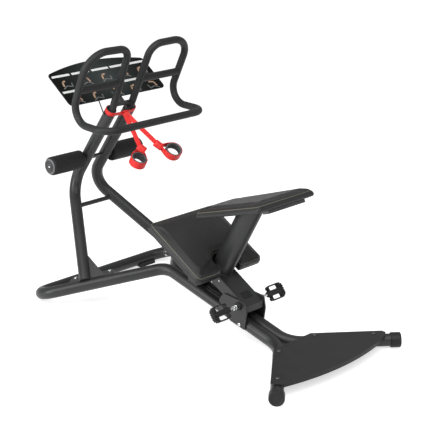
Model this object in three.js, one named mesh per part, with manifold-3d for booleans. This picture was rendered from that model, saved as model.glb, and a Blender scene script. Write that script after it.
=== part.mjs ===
// Stretching station: a bent-tube frame with a wedge seat, a sloping knee pad, foot rollers, a looped
// handlebar, two pedals, two straps with padded cuffs and a chart board.
// Units are millimetres, +Z is up, +Y runs from the front feet towards the handlebar.
import * as THREE from "three";
import { mergeVertices } from "three/addons/utils/BufferGeometryUtils.js";
import Module from "manifold-3d";

// Driving dimensions.
const gap = 0.3; // between pieces that touch
const tubeRadius = 28.5; // frame tube
const tubeWall = 3;
const tubeSides = 18;
const capRadius = 34; // plastic cap on each front foot
const capLength = 46;
const capGrip = 36; // length of foot tube inside its cap
const capFace = [408, -11.5]; // x and y of the centre of each cap's outer face
const spineStart = 318; // where the front feet meet the spine
const spineEnd = 1042; // where the spine splits into the rear ring
const spineEndHeight = 209;
const rearBarY = 1576;
const rearFootThickness = 3.5;
const rearCornerX = 537; // virtual corner of the rear ring
const footBend = 140; // bend radii, to the tube's axis
const spineBend = 110;
const cornerBend = 93;

const legTop = [59, 1395, 908];
const legCorner = [59, 1698, 499];
const legFoot = [301.5, 1324, 136];
const legBend = 114;
const neckRadius = 24.5; // socket for the handlebar on top of each upright
const neckLength = 26;
const braceHeight = 406;
const braceRadius = 11;

const treadThickness = 5;
const treadLip = 18;
const treadBolts = [
  [118, 241],
  [316, 67],
];
const boltRadius = 4;
const boltHeadRadius = 8.5;
const boltHeadHeight = 4;

const sidePlateThickness = 6;
const pedalAxis = [535, 172]; // y and z of the pedal axles
const pedalAxleRadius = 7;
const pedalClearance = 0.4;
const pedalInner = 132.5; // distance from the middle to the pedal's inner end
const pedalWidth = 95;
const pedalDepth = 70;
const pedalThickness = 22;
const pedalPitch = THREE.MathUtils.degToRad(-54);

const rampAngle = THREE.MathUtils.degToRad(29.7); // slope of the knee pad and the cover under it
const padFront = [645, 305]; // y and z of the seam at the pad's front edge
const padLength = 368;
const padHalfWidth = 200;
const padBelowSeam = 26;
const padAboveSeam = 16;
const padCorner = 20;
const padFlare = 6;
const notchHalfWidth = 66;
const notchStraight = 46;
const boardThickness = 11.7;
const coverHalfWidth = 56;
const coverFront = 496;
const coverWall = 3;
const coverDepth = 55;

const seatFront = [321, 710]; // y and z of the seam at the seat's front edge
const seatTilt = THREE.MathUtils.degToRad(-18.15);
const seatLength = 446;
const seatFrontHalf = 173;
const seatRearHalf = 118;
const seatBelowSeam = 15;
const seatAboveSeam = 17;
const seatCorner = 16;
const seatFlare = 7; // how far the sides stand out below the seam
const postFoot = [683, 326]; // a point on the seat post's axis
const postTilt = THREE.MathUtils.degToRad(29.4);
const postHalfDepth = 55;
const postHalfWidth = 38;
const postWall = 4;

const rollerAxleRadius = 10;
const rollerHeight = 647;
const rollerInner = 91;
const rollerOuter = 283;
const rollerRadius = 45.5;
const rollerSleeveRadius = 17;

const barRadius = 17.5;
const barWall = 2.5;
const barSides = 12;
const barBase = [57, 1376, 930];
const barTopInner = [67, 1229, 1239];
const barTopOuter = [310, 1226, 1245];
const barSideLow = [302, 1388, 910];
const barFront = [309, 1126, 903];
const barBends = [64, 103, 78, 69];
const postInsert = 22; // length of handlebar post inside its socket
const crossGripHeight = 1066;
const crossGripRadius = 17.5;

const boardHalfWidth = 295; // chart board
const boardLow = [1389, 979];
const boardHigh = [1556, 1100];
const boardSheet = 4;
const boardCorner = 22;
const boardArch = 42;
const stayRadius = 3;

const bandWidth = 23; // strap band round the two sockets
const bandInside = neckRadius + 0.6;
const webThickness = 3;
const strapWidth = 22;
const cuffRadius = 41.5;
const cuffHeight = 42;
const cuffPad = 7;
const strapRoutes = [
  [
    [0, 1364, 907],
    [0, 1354, 901],
    [3, 1353, 892],
    [6, 1351, 882],
    [9, 1348, 872],
    [12, 1345, 862],
    [16, 1341, 852],
    [19, 1338, 842],
    [22, 1335, 831],
    [26, 1332, 820],
    [29, 1329, 809],
    [32, 1326, 798],
    [36, 1322, 786],
    [39, 1319, 775],
    [42, 1316, 764],
    [46, 1312, 753],
    [46, 1310, 744],
    [54, 1303, 727],
  ],
  [
    [10, 1364, 904],
    [14, 1352, 898],
    [17, 1346, 889],
    [20, 1339, 879],
    [26, 1332, 870],
    [33, 1325, 860],
    [39, 1319, 851],
    [45, 1313, 842],
    [52, 1306, 832],
    [59, 1299, 822],
    [66, 1292, 811],
    [74, 1284, 801],
    [81, 1277, 791],
    [88, 1270, 780],
    [95, 1263, 770],
    [101, 1257, 762],
    [106, 1252, 752],
    [112, 1246, 744],
  ],
];
const cuffPlaces = [
  { centre: [34, 1305, 670], axis: [0, -0.51, 0.86], roll: [54, 1303, 727] },
  { centre: [162, 1196, 713], axis: [-0.17, -0.63, 0.75], roll: [112, 1246, 744] },
];
const rollRadius = 15;
const rollLength = 38;

// Materials.
function finish(colour, roughness, metalness) {
  return new THREE.MeshStandardMaterial({ color: colour, roughness, metalness });
}
const paint = finish("#36383a", 0.42, 0.3);
const barPaint = finish("#3a3b3c", 0.55, 0.15);
const chrome = finish("#d6d8da", 0.15, 1);
const plastic = finish("#3b3b3c", 0.55, 0);
const leather = finish("#2f2f31", 0.6, 0);
const foam = finish("#262628", 0.85, 0);
const rubber = finish("#161617", 0.85, 0);
const webbing = finish("#d01f1f", 0.7, 0);
const lining = finish("#4c4e50", 0.85, 0);
const steel = finish("#4a4c4f", 0.4, 0.5);
const boardPrint = finish("#12181a", 0.4, 0);
const blankLabel = finish("#8c8c8a", 0.5, 0);

const wasm = await Module();
wasm.setup();
const root = new THREE.Group();

// Booleans.
function solid(geometry) {
  const bare = geometry.clone();
  bare.deleteAttribute("normal");
  bare.deleteAttribute("uv");
  const merged = mergeVertices(bare, 1e-4);
  return new wasm.Manifold(
    new wasm.Mesh({
      numProp: 3,
      vertProperties: new Float32Array(merged.attributes.position.array),
      triVerts: new Uint32Array(merged.index.array),
    }),
  );
}

function geometryOf(manifold) {
  const mesh = manifold.getMesh();
  const geometry = new THREE.BufferGeometry();
  geometry.setAttribute("position", new THREE.BufferAttribute(mesh.vertProperties, 3));
  geometry.setIndex(new THREE.BufferAttribute(mesh.triVerts, 1));
  geometry.computeVertexNormals();
  return geometry;
}

function join(...parts) {
  return geometryOf(parts.map(solid).reduce((sum, part) => sum.add(part)));
}

function cut(body, ...tools) {
  return geometryOf(tools.map(solid).reduce((rest, tool) => rest.subtract(tool), solid(body)));
}

// The same piece on the other side of the middle plane.
function mirrored(geometry) {
  const bare = geometry.clone();
  bare.deleteAttribute("normal");
  bare.deleteAttribute("uv");
  const other = mergeVertices(bare, 1e-4).scale(-1, 1, 1);
  const index = other.index.array;
  for (let i = 0; i < index.length; i += 3) [index[i + 1], index[i + 2]] = [index[i + 2], index[i + 1]];
  return other;
}

// Adds a right-hand piece and its mirror image.
function addPair(name, geometry, material) {
  add(name + "_right", geometry, material);
  add(name + "_left", mirrored(geometry), material);
}

function add(name, geometry, material) {
  const mesh = new THREE.Mesh(geometry, material);
  mesh.name = name;
  root.add(mesh);
  return mesh;
}

// Sides: -1 is left, +1 is right.
const sides = { left: -1, right: 1 };

function eachSide(make) {
  for (const [word, side] of Object.entries(sides)) make(word, side);
}

// Points.
const vec = (p) => new THREE.Vector3(...p);
const onSide = (p, side) => new THREE.Vector3(side * p[0], p[1], p[2]);

// A path of straight runs joined by round bends. One station at each end of a run, several in a bend.
class BentPath extends THREE.Curve {
  constructor(corners, radii, bendSteps = 6) {
    super();
    this.stations = [];
    const first = corners[1].clone().sub(corners[0]).normalize();
    this.station(corners[0], first);
    for (let i = 1; i < corners.length - 1; i++) {
      this.bend(corners[i - 1], corners[i], corners[i + 1], radii[i - 1], bendSteps);
    }
    const last = corners.at(-1).clone().sub(corners.at(-2)).normalize();
    this.station(corners.at(-1), last);
  }
  station(point, tangent) {
    this.stations.push({ point: point.clone(), tangent: tangent.clone() });
  }
  bend(before, corner, after, radius, steps) {
    const inward = corner.clone().sub(before).normalize();
    const outward = after.clone().sub(corner).normalize();
    const turn = inward.angleTo(outward);
    const start = corner.clone().addScaledVector(inward, -radius * Math.tan(turn / 2));
    const toCentre = outward.clone().addScaledVector(inward, -inward.dot(outward)).normalize();
    const centre = start.clone().addScaledVector(toCentre, radius);
    for (let i = 0; i <= steps; i++) {
      const angle = (turn * i) / steps;
      const point = centre.clone();
      point.addScaledVector(toCentre, -radius * Math.cos(angle));
      point.addScaledVector(inward, radius * Math.sin(angle));
      const tangent = inward.clone().multiplyScalar(Math.cos(angle));
      tangent.addScaledVector(toCentre, Math.sin(angle));
      this.station(point, tangent);
    }
  }
  between(t) {
    const place = t * (this.stations.length - 1);
    const index = Math.min(Math.floor(place + 1e-9), this.stations.length - 2);
    return [this.stations[index], this.stations[index + 1], place - index];
  }
  getPoint(t, target = new THREE.Vector3()) {
    const [a, b, part] = this.between(t);
    return target.lerpVectors(a.point, b.point, part);
  }
  getTangent(t, target = new THREE.Vector3()) {
    const [a, b, part] = this.between(t);
    return target.lerpVectors(a.tangent, b.tangent, part).normalize();
  }
  getUtoTmapping(u) {
    return u;
  }
  atHeight(height) {
    const list = this.stations.map((s) => s.point);
    const index = list.findIndex((p, i) => i > 0 && (p.z - height) * (list[i - 1].z - height) <= 0);
    const [a, b] = [list[index - 1], list[index]];
    return a.clone().lerp(b, (height - a.z) / (b.z - a.z));
  }
}

// Sections and sweeps.
function circlePoints(radius, count) {
  const points = [];
  for (let i = 0; i < count; i++) {
    const angle = (2 * Math.PI * i) / count;
    points.push(new THREE.Vector2(radius * Math.cos(angle), radius * Math.sin(angle)));
  }
  return points;
}

function sweep(path, radius, wall, count) {
  const section = new THREE.Shape(circlePoints(radius, count));
  if (wall) section.holes.push(new THREE.Path(circlePoints(radius - wall, count)));
  const steps = path.stations.length - 1;
  return new THREE.ExtrudeGeometry(section, { steps, extrudePath: path, bevelEnabled: false });
}

// A cylinder from one point to another.
function rod(from, to, radius, count = 20) {
  const length = from.distanceTo(to);
  const geometry = new THREE.CylinderGeometry(radius, radius, length, count);
  const direction = to.clone().sub(from).normalize();
  const turn = new THREE.Quaternion().setFromUnitVectors(new THREE.Vector3(0, 1, 0), direction);
  geometry.applyQuaternion(turn);
  const middle = from.clone().lerp(to, 0.5);
  return geometry.translate(middle.x, middle.y, middle.z);
}

// A turned piece: profile pairs of radius and length, its axis from a point along a direction.
function turned(profile, from, direction, count = 24) {
  const points = profile.map(([radius, length]) => new THREE.Vector2(radius, length));
  const geometry = new THREE.LatheGeometry(points, count);
  const turn = new THREE.Quaternion().setFromUnitVectors(new THREE.Vector3(0, 1, 0), direction);
  return geometry.applyQuaternion(turn).translate(from.x, from.y, from.z);
}

// A box given by its lowest and highest corner in a frame.
function block(low, high, frame = new THREE.Matrix4()) {
  const size = vec(high).sub(vec(low));
  const middle = vec(high).add(vec(low)).multiplyScalar(0.5);
  const geometry = new THREE.BoxGeometry(size.x, size.y, size.z);
  return geometry.translate(middle.x, middle.y, middle.z).applyMatrix4(frame);
}

// An outline with rounded corners.
function rounded(corners, radii, steps = 4) {
  const points = [];
  corners.forEach((corner, i) => {
    const before = corners[(i + corners.length - 1) % corners.length];
    const after = corners[(i + 1) % corners.length];
    const here = new THREE.Vector2(...corner);
    const radius = Array.isArray(radii) ? radii[i] : radii;
    if (!radius) {
      points.push(here);
      return;
    }
    const inward = here.clone().sub(new THREE.Vector2(...before)).normalize();
    const outward = new THREE.Vector2(...after).sub(here).normalize();
    const turn = Math.acos(THREE.MathUtils.clamp(inward.dot(outward), -1, 1));
    const start = here.clone().addScaledVector(inward, -radius * Math.tan(turn / 2));
    const side = Math.sign(inward.cross(outward));
    const toCentre = new THREE.Vector2(-inward.y, inward.x).multiplyScalar(side);
    const centre = start.clone().addScaledVector(toCentre, radius);
    for (let k = 0; k <= steps; k++) {
      const angle = (turn * k) / steps;
      const point = centre.clone().addScaledVector(toCentre, -radius * Math.cos(angle));
      points.push(point.addScaledVector(inward, radius * Math.sin(angle)));
    }
  });
  return new THREE.Shape(points);
}

// A plate: an outline in a frame's first two axes, from one level to another on its third.
function plate(outline, low, high, frame = new THREE.Matrix4(), bevel = 0) {
  const geometry = new THREE.ExtrudeGeometry(outline, {
    depth: high - low - 2 * bevel,
    bevelEnabled: bevel > 0,
    bevelThickness: bevel,
    bevelSize: bevel,
    bevelOffset: -bevel,
    bevelSegments: 2,
  });
  return geometry.translate(0, 0, low + bevel).applyMatrix4(frame);
}

function frameAt(origin, xAxis, yAxis, zAxis) {
  return new THREE.Matrix4().makeBasis(xAxis, yAxis, zAxis).setPosition(origin);
}

const xAxis = new THREE.Vector3(1, 0, 0);
const yAxis = new THREE.Vector3(0, 1, 0);
const zAxis = new THREE.Vector3(0, 0, 1);

// A frame that slopes along Y: its second axis climbs at the angle, its third is the face's normal.
function slope(front, angle) {
  const along = new THREE.Vector3(0, Math.cos(angle), Math.sin(angle));
  const up = new THREE.Vector3(0, -Math.sin(angle), Math.cos(angle));
  return frameAt(new THREE.Vector3(0, front[0], front[1]), xAxis, along, up);
}

const padFrame = slope(padFront, rampAngle);
const seatFrame = slope(seatFront, seatTilt);
// For outlines drawn in Y and Z, with their thickness along X.
const sideFrame = frameAt(new THREE.Vector3(), yAxis, zAxis, xAxis);

function bolt(from, direction, shankLength, headRadius = boltHeadRadius, shank = boltRadius) {
  const profile = [
    [0, -shankLength],
    [shank, -shankLength],
    [shank, 0],
    [headRadius, 0],
    [headRadius, boltHeadHeight * 0.5],
    [headRadius * 0.6, boltHeadHeight],
    [0, boltHeadHeight],
  ];
  return turned(profile, from, direction, 16);
}

// ---- Base: front feet, spine and rear ring ----

const footHeight = capRadius;
const spineX = tubeRadius + gap * 0.7;
const rearBarHeight = tubeRadius + rearFootThickness;

function basePath(side) {
  const start = vec([...capFace, footHeight]).addScaledVector(footDirection(1), capGrip - capLength);
  const corners = [
    start.toArray(),
    [spineX, spineStart, footHeight],
    [spineX, spineEnd, spineEndHeight],
    [rearCornerX, rearBarY, rearBarHeight],
    [gap / 2, rearBarY, rearBarHeight],
  ];
  return new BentPath(
    corners.map((p) => onSide(p, side)),
    [footBend, spineBend, cornerBend],
  );
}

function footDirection(side) {
  return onSide([capFace[0] - spineX, capFace[1] - spineStart, 0], side).normalize();
}

function sideBoltPlace(side) {
  const along = 530;
  const height = footHeight + ((along - spineStart) * (spineEndHeight - footHeight)) / (spineEnd - spineStart);
  const reach = spineX + tubeRadius + gap + sidePlateThickness + gap;
  return onSide([reach, along, height], side);
}

const sideBoltLength = 26;
const treadTop = footHeight + tubeRadius + gap + treadThickness;
const treadBoltLength = 24;

function treadBoltPlaces(side) {
  return treadBolts.map(([x, y]) => onSide([x, y, treadTop + gap], side));
}

function buildBase() {
  eachSide((word, side) => {
    const tube = sweep(basePath(side), tubeRadius, tubeWall, tubeSides);
    const holes = treadBoltPlaces(side).map((place) => {
      const low = place.clone().addScaledVector(zAxis, -treadBoltLength - gap);
      return rod(low, place, boltRadius + gap, 16);
    });
    const bore = sideBoltPlace(side);
    const inside = bore.clone().addScaledVector(xAxis, -side * (sideBoltLength + gap));
    holes.push(rod(inside, bore, boltRadius + gap, 16));
    add("base_tube_" + word, cut(tube, ...holes), paint);

    const outward = footDirection(side);
    const tip = onSide([...capFace, footHeight], side);
    const profile = [
      [0, -3],
      [capRadius - 9, -3],
      [capRadius - 7, 0],
      [capRadius - 3, 0],
      [capRadius, -3],
      [capRadius, -capLength],
      [tubeRadius + gap, -capLength],
      [tubeRadius + gap, -capLength + capGrip],
      [0, -capLength + capGrip],
      [0, -3],
    ].reverse();
    add("foot_cap_" + word, turned(profile, tip, outward, 28), plastic);

    const saddleX = 290;
    const saddle = block(
      [side * saddleX - 50, rearBarY - 36, 0],
      [side * saddleX + 50, rearBarY + 36, 22],
    );
    const channel = sweep(basePath(side), tubeRadius + gap, 0, tubeSides);
    add("rear_foot_" + word, cut(saddle, channel), rubber);
  });
}

// ---- Tread plate on the front feet ----

function treadOutline(inset) {
  const corners = [
    [-120 + inset, 268 - inset],
    [-366 + inset, 62 - inset],
    [-366 + inset, 40 + inset],
    [-335 + inset, 18 + inset],
  ];
  const arcSteps = 14;
  const half = 335 - inset;
  for (let i = 1; i < arcSteps; i++) {
    const x = -half + (2 * half * i) / arcSteps;
    corners.push([x, 18 + inset - 46 * (1 - (x / half) ** 2)]);
  }
  corners.push([335 - inset, 18 + inset], [366 - inset, 40 + inset]);
  corners.push([366 - inset, 62 - inset], [120 - inset, 268 - inset]);
  return new THREE.Shape(corners.map((p) => new THREE.Vector2(...p)));
}

function lipOutline() {
  const half = 333;
  const steps = 14;
  const front = [];
  for (let i = 0; i <= steps; i++) {
    const x = -half + (2 * half * i) / steps;
    front.push([x, 18 - 46 * (1 - (x / half) ** 2)]);
  }
  const back = front.map(([x, y]) => [x, y + 4]).reverse();
  return new THREE.Shape([...front, ...back].map((p) => new THREE.Vector2(...p)));
}

function buildTread() {
  const sheet = plate(treadOutline(0), treadTop - treadThickness, treadTop);
  const lip = plate(lipOutline(), treadTop - treadLip, treadTop - 1);
  const places = [...treadBoltPlaces(-1), ...treadBoltPlaces(1)];
  const holes = places.map((place) => {
    const low = place.clone().addScaledVector(zAxis, -treadBoltLength);
    return rod(low, place.clone().addScaledVector(zAxis, 2), boltRadius + gap, 16);
  });
  add("tread_plate", cut(join(sheet, lip), ...holes), plastic);
  places.forEach((place, i) => add("tread_bolt_" + (i + 1), bolt(place, zAxis, treadBoltLength), chrome));
}

// ---- Pedal mounts and pedals ----

const plateInner = spineX + tubeRadius + gap;
const plateOuter = plateInner + sidePlateThickness;
const hubThickness = 11;
const hubRadius = 19;
const collarLength = 24;
const collarRadius = 11;

function sidePlateOutline() {
  const corners = [
    [pedalAxis[0] - 39, pedalAxis[1] + 25],
    [pedalAxis[0] - 49, pedalAxis[1] - 29],
    [pedalAxis[0] - 37, pedalAxis[1] - 106],
    [pedalAxis[0] + 53, pedalAxis[1] - 86],
    [pedalAxis[0] + 125, pedalAxis[1] - 7],
    [pedalAxis[0] + 97, pedalAxis[1] + 35],
  ];
  return rounded(corners, [14, 6, 5, 8, 12, 24]);
}

function pedalOutline() {
  const half = pedalDepth / 2;
  const teeth = 5;
  const tooth = 4;
  const edge = (y, direction) => {
    const points = [];
    for (let i = 0; i < teeth; i++) {
      const from = 10 + ((pedalWidth - 20) * i) / teeth;
      const to = 10 + ((pedalWidth - 20) * (i + 1)) / teeth;
      const middle = (from + to) / 2;
      points.push([from, y], [middle - 3, y + direction * tooth], [middle + 3, y + direction * tooth]);
    }
    points.push([pedalWidth - 10, y]);
    return points;
  };
  const front = edge(-half, -1);
  const back = edge(half, 1).reverse();
  const corners = [...front, [pedalWidth, -half + 12], [pedalWidth, half - 12], ...back];
  corners.push([0, half - 16], [0, -half + 16]);
  const outline = new THREE.Shape(corners.map((p) => new THREE.Vector2(...p)));
  for (const side of [-1, 1]) {
    const near = side * 13;
    const far = side * (half - 7);
    const window = [
      [14, near],
      [pedalWidth - 14, near],
      [pedalWidth - 14, far],
      [14, far],
    ];
    outline.holes.push(new THREE.Path(rounded(window, 6, 2).getPoints()));
  }
  return outline;
}

function pedalFrame(side) {
  const forward = new THREE.Vector3(0, Math.cos(pedalPitch), -Math.sin(pedalPitch)).multiplyScalar(side);
  const outward = xAxis.clone().multiplyScalar(side);
  const up = outward.clone().cross(forward);
  return frameAt(onSide([pedalInner, ...pedalAxis], side), outward, forward, up);
}

function buildPedals() {
  eachSide((word, side) => {
    const outward = xAxis.clone().multiplyScalar(side);
    const at = (x) => onSide([x, ...pedalAxis], side);
    const outline = sidePlateOutline();
    const low = side > 0 ? plateInner : -plateOuter;
    const sheet = plate(outline, low, low + sidePlateThickness, sideFrame);
    const boltPlace = sideBoltPlace(side);
    const boltHole = rod(boltPlace.clone().addScaledVector(outward, -12), boltPlace, boltRadius + gap, 16);
    add("side_plate_" + word, cut(sheet, boltHole), paint);
    add("side_bolt_" + word, bolt(boltPlace, outward, sideBoltLength), chrome);

    const hubStart = plateOuter + gap;
    const hubProfile = [
      [0, 0],
      [hubRadius, 0],
      [hubRadius, hubThickness - 3],
      [hubRadius - 3, hubThickness],
      [0, hubThickness],
    ];
    add("pedal_hub_" + word, turned(hubProfile, at(hubStart), outward), plastic);

    const collarStart = hubStart + hubThickness + gap;
    const reach = pedalInner + pedalWidth - 6 - collarStart;
    const axleProfile = [
      [0, 0],
      [collarRadius, 0],
      [collarRadius, collarLength - 2],
      [collarRadius - 2, collarLength],
      [pedalAxleRadius, collarLength],
      [pedalAxleRadius, reach],
      [0, reach],
    ];
    add("pedal_axle_" + word, turned(axleProfile, at(collarStart), outward), chrome);

    const frame = pedalFrame(side);
    const cage = plate(pedalOutline(), -pedalThickness / 2, pedalThickness / 2, frame);
    const barrelStart = collarStart + collarLength + 2;
    const barrel = rod(at(barrelStart), at(pedalInner + pedalWidth - 2), 12.4, 16);
    const bore = rod(at(barrelStart - 1), at(pedalInner + pedalWidth - 6 + gap), pedalAxleRadius + pedalClearance, 24);
    add("pedal_" + word, cut(join(cage, barrel), bore), plastic);
  });
}

// ---- Cover under the knee pad ----

// Height above the pad frame's own plane of the cover's top face.
const coverTop = -padBelowSeam - gap - boardThickness - gap;
const coverLow = coverTop - coverDepth;

function rampHeight(y, level) {
  return padFront[1] + (level + Math.sin(rampAngle) * (y - padFront[0])) / Math.cos(rampAngle);
}

const coverRear = 905;
const coverFrontDrop = 31;

function buildCover() {
  const low = rampHeight(coverFront, coverTop) - coverFrontDrop;
  const outer = new THREE.Shape([
    new THREE.Vector2(coverFront, low),
    new THREE.Vector2(coverFront + 62, rampHeight(coverFront + 62, coverLow)),
    new THREE.Vector2(coverRear, rampHeight(coverRear, coverLow)),
    new THREE.Vector2(coverRear, rampHeight(coverRear, coverTop)),
    new THREE.Vector2(coverFront, rampHeight(coverFront, coverTop)),
  ]);
  const body = plate(outer, -coverHalfWidth, coverHalfWidth, sideFrame);
  const hollow = new THREE.Shape([
    new THREE.Vector2(coverFront + coverWall, low - 60),
    new THREE.Vector2(coverRear + 30, low - 60),
    new THREE.Vector2(coverRear + 30, rampHeight(coverRear + 30, coverTop - coverWall)),
    new THREE.Vector2(coverFront + coverWall, rampHeight(coverFront + coverWall, coverTop - coverWall)),
  ]);
  const inside = plate(hollow, -coverHalfWidth + coverWall, coverHalfWidth - coverWall, sideFrame);
  add("ramp_cover", cut(body, inside), paint);

  const labelMiddle = -133;
  const label = plate(
    rounded([[-27, labelMiddle - 19], [27, labelMiddle - 19], [27, labelMiddle + 19], [-27, labelMiddle + 19]], 3),
    coverTop + gap,
    coverTop + gap + 1,
    padFrame,
  );
  add("label_plate", label, blankLabel);

  // The stand that carries the cover's rear end on the spine.
  const standY = 850;
  const standHalf = 30;
  const standX = 46;
  const top = new THREE.Shape([
    new THREE.Vector2(standY - standHalf, 150),
    new THREE.Vector2(standY + standHalf, 150),
    new THREE.Vector2(standY + standHalf, rampHeight(standY + standHalf, coverTop - coverWall - gap)),
    new THREE.Vector2(standY - standHalf, rampHeight(standY - standHalf, coverTop - coverWall - gap)),
  ]);
  const outside = plate(top, -standX, standX, sideFrame);
  const core = block([-standX + 4, standY - standHalf + 4, 100], [standX - 4, standY + standHalf - 4, 400]);
  const tubes = [-1, 1].map((side) => {
    const line = basePath(side).stations.map((s) => s.point);
    return rod(line[7], line[8], tubeRadius + gap, 40);
  });
  const below = block([-60, standY - 60, 0], [60, standY + 60, spineHeight(standY) - 6]);
  add("pad_stand", keepLargest(cut(outside, core, ...tubes, below)), paint);
}

function spineHeight(y) {
  return footHeight + ((y - spineStart) * (spineEndHeight - footHeight)) / (spineEnd - spineStart);
}

// ---- Knee pad ----

function padOutline(inset) {
  const half = padHalfWidth - inset;
  const notch = notchHalfWidth + inset;
  const corners = [
    [notch, inset],
    [half, inset],
    [half, padLength - inset],
    [-half, padLength - inset],
    [-half, inset],
    [-notch, inset],
  ];
  const outline = rounded(corners, [12, padCorner, padCorner, padCorner, padCorner, 12]).getPoints();
  const arcSteps = 10;
  for (let i = 0; i <= arcSteps; i++) {
    const angle = Math.PI - (Math.PI * i) / arcSteps;
    outline.push(new THREE.Vector2(notch * Math.cos(angle), notchStraight + notch * Math.sin(angle)));
  }
  return new THREE.Shape(outline);
}

function buildPad() {
  const boardTop = -padBelowSeam - gap;
  add("pad_board", plate(padOutline(3), boardTop - boardThickness, boardTop, padFrame), plastic);
  const skirt = plate(padOutline(-padFlare), -padBelowSeam, 1, padFrame);
  add("knee_pad", join(skirt, plate(padOutline(0), -4, padAboveSeam, padFrame, 9)), leather);
}

// ---- Seat and its post ----

function seatOutline(inset) {
  const front = seatFrontHalf - inset;
  const rear = seatRearHalf - inset;
  return rounded(
    [
      [-front, inset],
      [front, inset],
      [rear, seatLength - inset],
      [-rear, seatLength - inset],
    ],
    seatCorner,
  );
}

const seatBoardTop = -seatBelowSeam - gap;
const bracketTop = seatBoardTop - boardThickness - gap;
const bracketPlate = 10;
const channelHeight = 14;
const channelReach = 115;
const channelY = [3, 40]; // front and rear faces, along the seat

function postFrame() {
  const up = new THREE.Vector3(0, -Math.sin(postTilt), Math.cos(postTilt));
  const along = new THREE.Vector3(0, Math.cos(postTilt), Math.sin(postTilt));
  return frameAt(new THREE.Vector3(0, ...postFoot), xAxis, along, up);
}

function ovalPoints(halfX, halfY, count) {
  const points = [];
  for (let i = 0; i < count; i++) {
    const angle = (2 * Math.PI * i) / count;
    points.push(new THREE.Vector2(halfX * Math.cos(angle), halfY * Math.sin(angle)));
  }
  return points;
}

function buildSeat() {
  const skirt = plate(seatOutline(-seatFlare), -seatBelowSeam, 1, seatFrame);
  add("seat_cushion", join(skirt, plate(seatOutline(0), -4, seatAboveSeam, seatFrame, 8)), leather);
  add("seat_board", plate(seatOutline(4), seatBoardTop - boardThickness, seatBoardTop, seatFrame), plastic);
  const [near, far] = channelY;
  const channel = block([-channelReach, near, bracketTop - channelHeight], [channelReach, far, bracketTop], seatFrame);
  const web = block([-52, far - 10, bracketTop - bracketPlate], [52, 330, bracketTop], seatFrame);
  add("seat_bracket", join(channel, web), steel);

  const section = new THREE.Shape(ovalPoints(postHalfWidth, postHalfDepth, 28));
  section.holes.push(new THREE.Path(ovalPoints(postHalfWidth - postWall, postHalfDepth - postWall, 28)));
  const tube = plate(section, -200, 420, postFrame());
  const above = block([-200, -400, bracketTop - bracketPlate - gap], [200, 800, 600], seatFrame);
  const below = block([-200, -500, coverTop - 400], [200, 600, coverTop + gap], padFrame);
  add("seat_post", cut(tube, above, below), paint);
}

// ---- Uprights and their bolted feet ----

function legPath(side) {
  return new BentPath(
    [legTop, legCorner, legFoot].map((p) => onSide(p, side)),
    [legBend],
    9,
  );
}

// Frame on the ring's right run under the upright: along the run, towards the rear bar, and up.
function ringFrame() {
  const start = vec([spineX, spineEnd, spineEndHeight]);
  const end = vec([rearCornerX, rearBarY, rearBarHeight]);
  const along = end.clone().sub(start).normalize();
  const up = zAxis.clone().addScaledVector(along, -along.z).normalize();
  const back = up.clone().cross(along);
  const reach = vec(legFoot).sub(start).dot(along);
  const origin = start.clone().addScaledVector(along, reach);
  return { matrix: frameAt(origin, along, back, up), along, back, up, origin };
}

const flangeThickness = 5;
const flangeBolts = [-118, 52]; // along the ring from the upright's foot
const flangeBoltInset = 50;
const gussetHeight = 122; // up the upright
const gussetReach = 98; // along the ring
const flangeTop = tubeRadius;
const upperFlange = flangeTop - flangeThickness;
const lowerFlange = upperFlange - gap - flangeThickness;

function flangeOutline() {
  const corners = [
    [-142, -14],
    [78, -14],
    [78, 66],
    [-142, 66],
  ];
  return rounded(corners, [10, 10, 22, 22]);
}

function handlebarPath() {
  const direction = vec(barTopInner).sub(vec(barBase)).normalize();
  const start = vec(barBase).addScaledVector(direction, -postInsert).toArray();
  const half = [start, barTopInner, barTopOuter, barSideLow, barFront];
  const left = half.map((p) => onSide(p, -1));
  const right = half.map((p) => onSide(p, 1)).reverse();
  return new BentPath([...left, ...right], [...barBends, ...barBends.toReversed()], 5);
}

function buildUprights() {
  const barRoom = sweep(handlebarPath(), barRadius + gap, 0, barSides);
  const axleRoom = rod(vec([-120, ...rollerPlace()]), vec([120, ...rollerPlace()]), rollerAxleRadius + gap, 24);
  const path = legPath(1);
  const tube = sweep(path, tubeRadius, tubeWall, tubeSides);
  const { up } = bandFrame();
  const neckTop = vec(legTop).addScaledVector(up, neckLength);
  const neck = rod(vec(legTop).addScaledVector(up, -8), neckTop, neckRadius, 24);
  const shoulder = rod(vec(legTop).addScaledVector(up, -8), vec(legTop).addScaledVector(up, -1), tubeRadius - 1, 24);
  const footRoom = block([-300, -300, -300], [300, 300, flangeTop + gap], ringFrame().matrix);
  addPair("upright", cut(join(tube, neck, shoulder), barRoom, axleRoom, footRoom), paint);

  const braceLevel = path.atHeight(braceHeight);
  const ends = [-1, 1].map((side) => onSide(braceLevel.toArray(), side));
  const legs = [-1, 1].map((side) => sweep(legPath(side), tubeRadius + gap, 0, 32));
  add("cross_brace", cut(rod(ends[0], ends[1], braceRadius), ...legs), paint);
}

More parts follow.
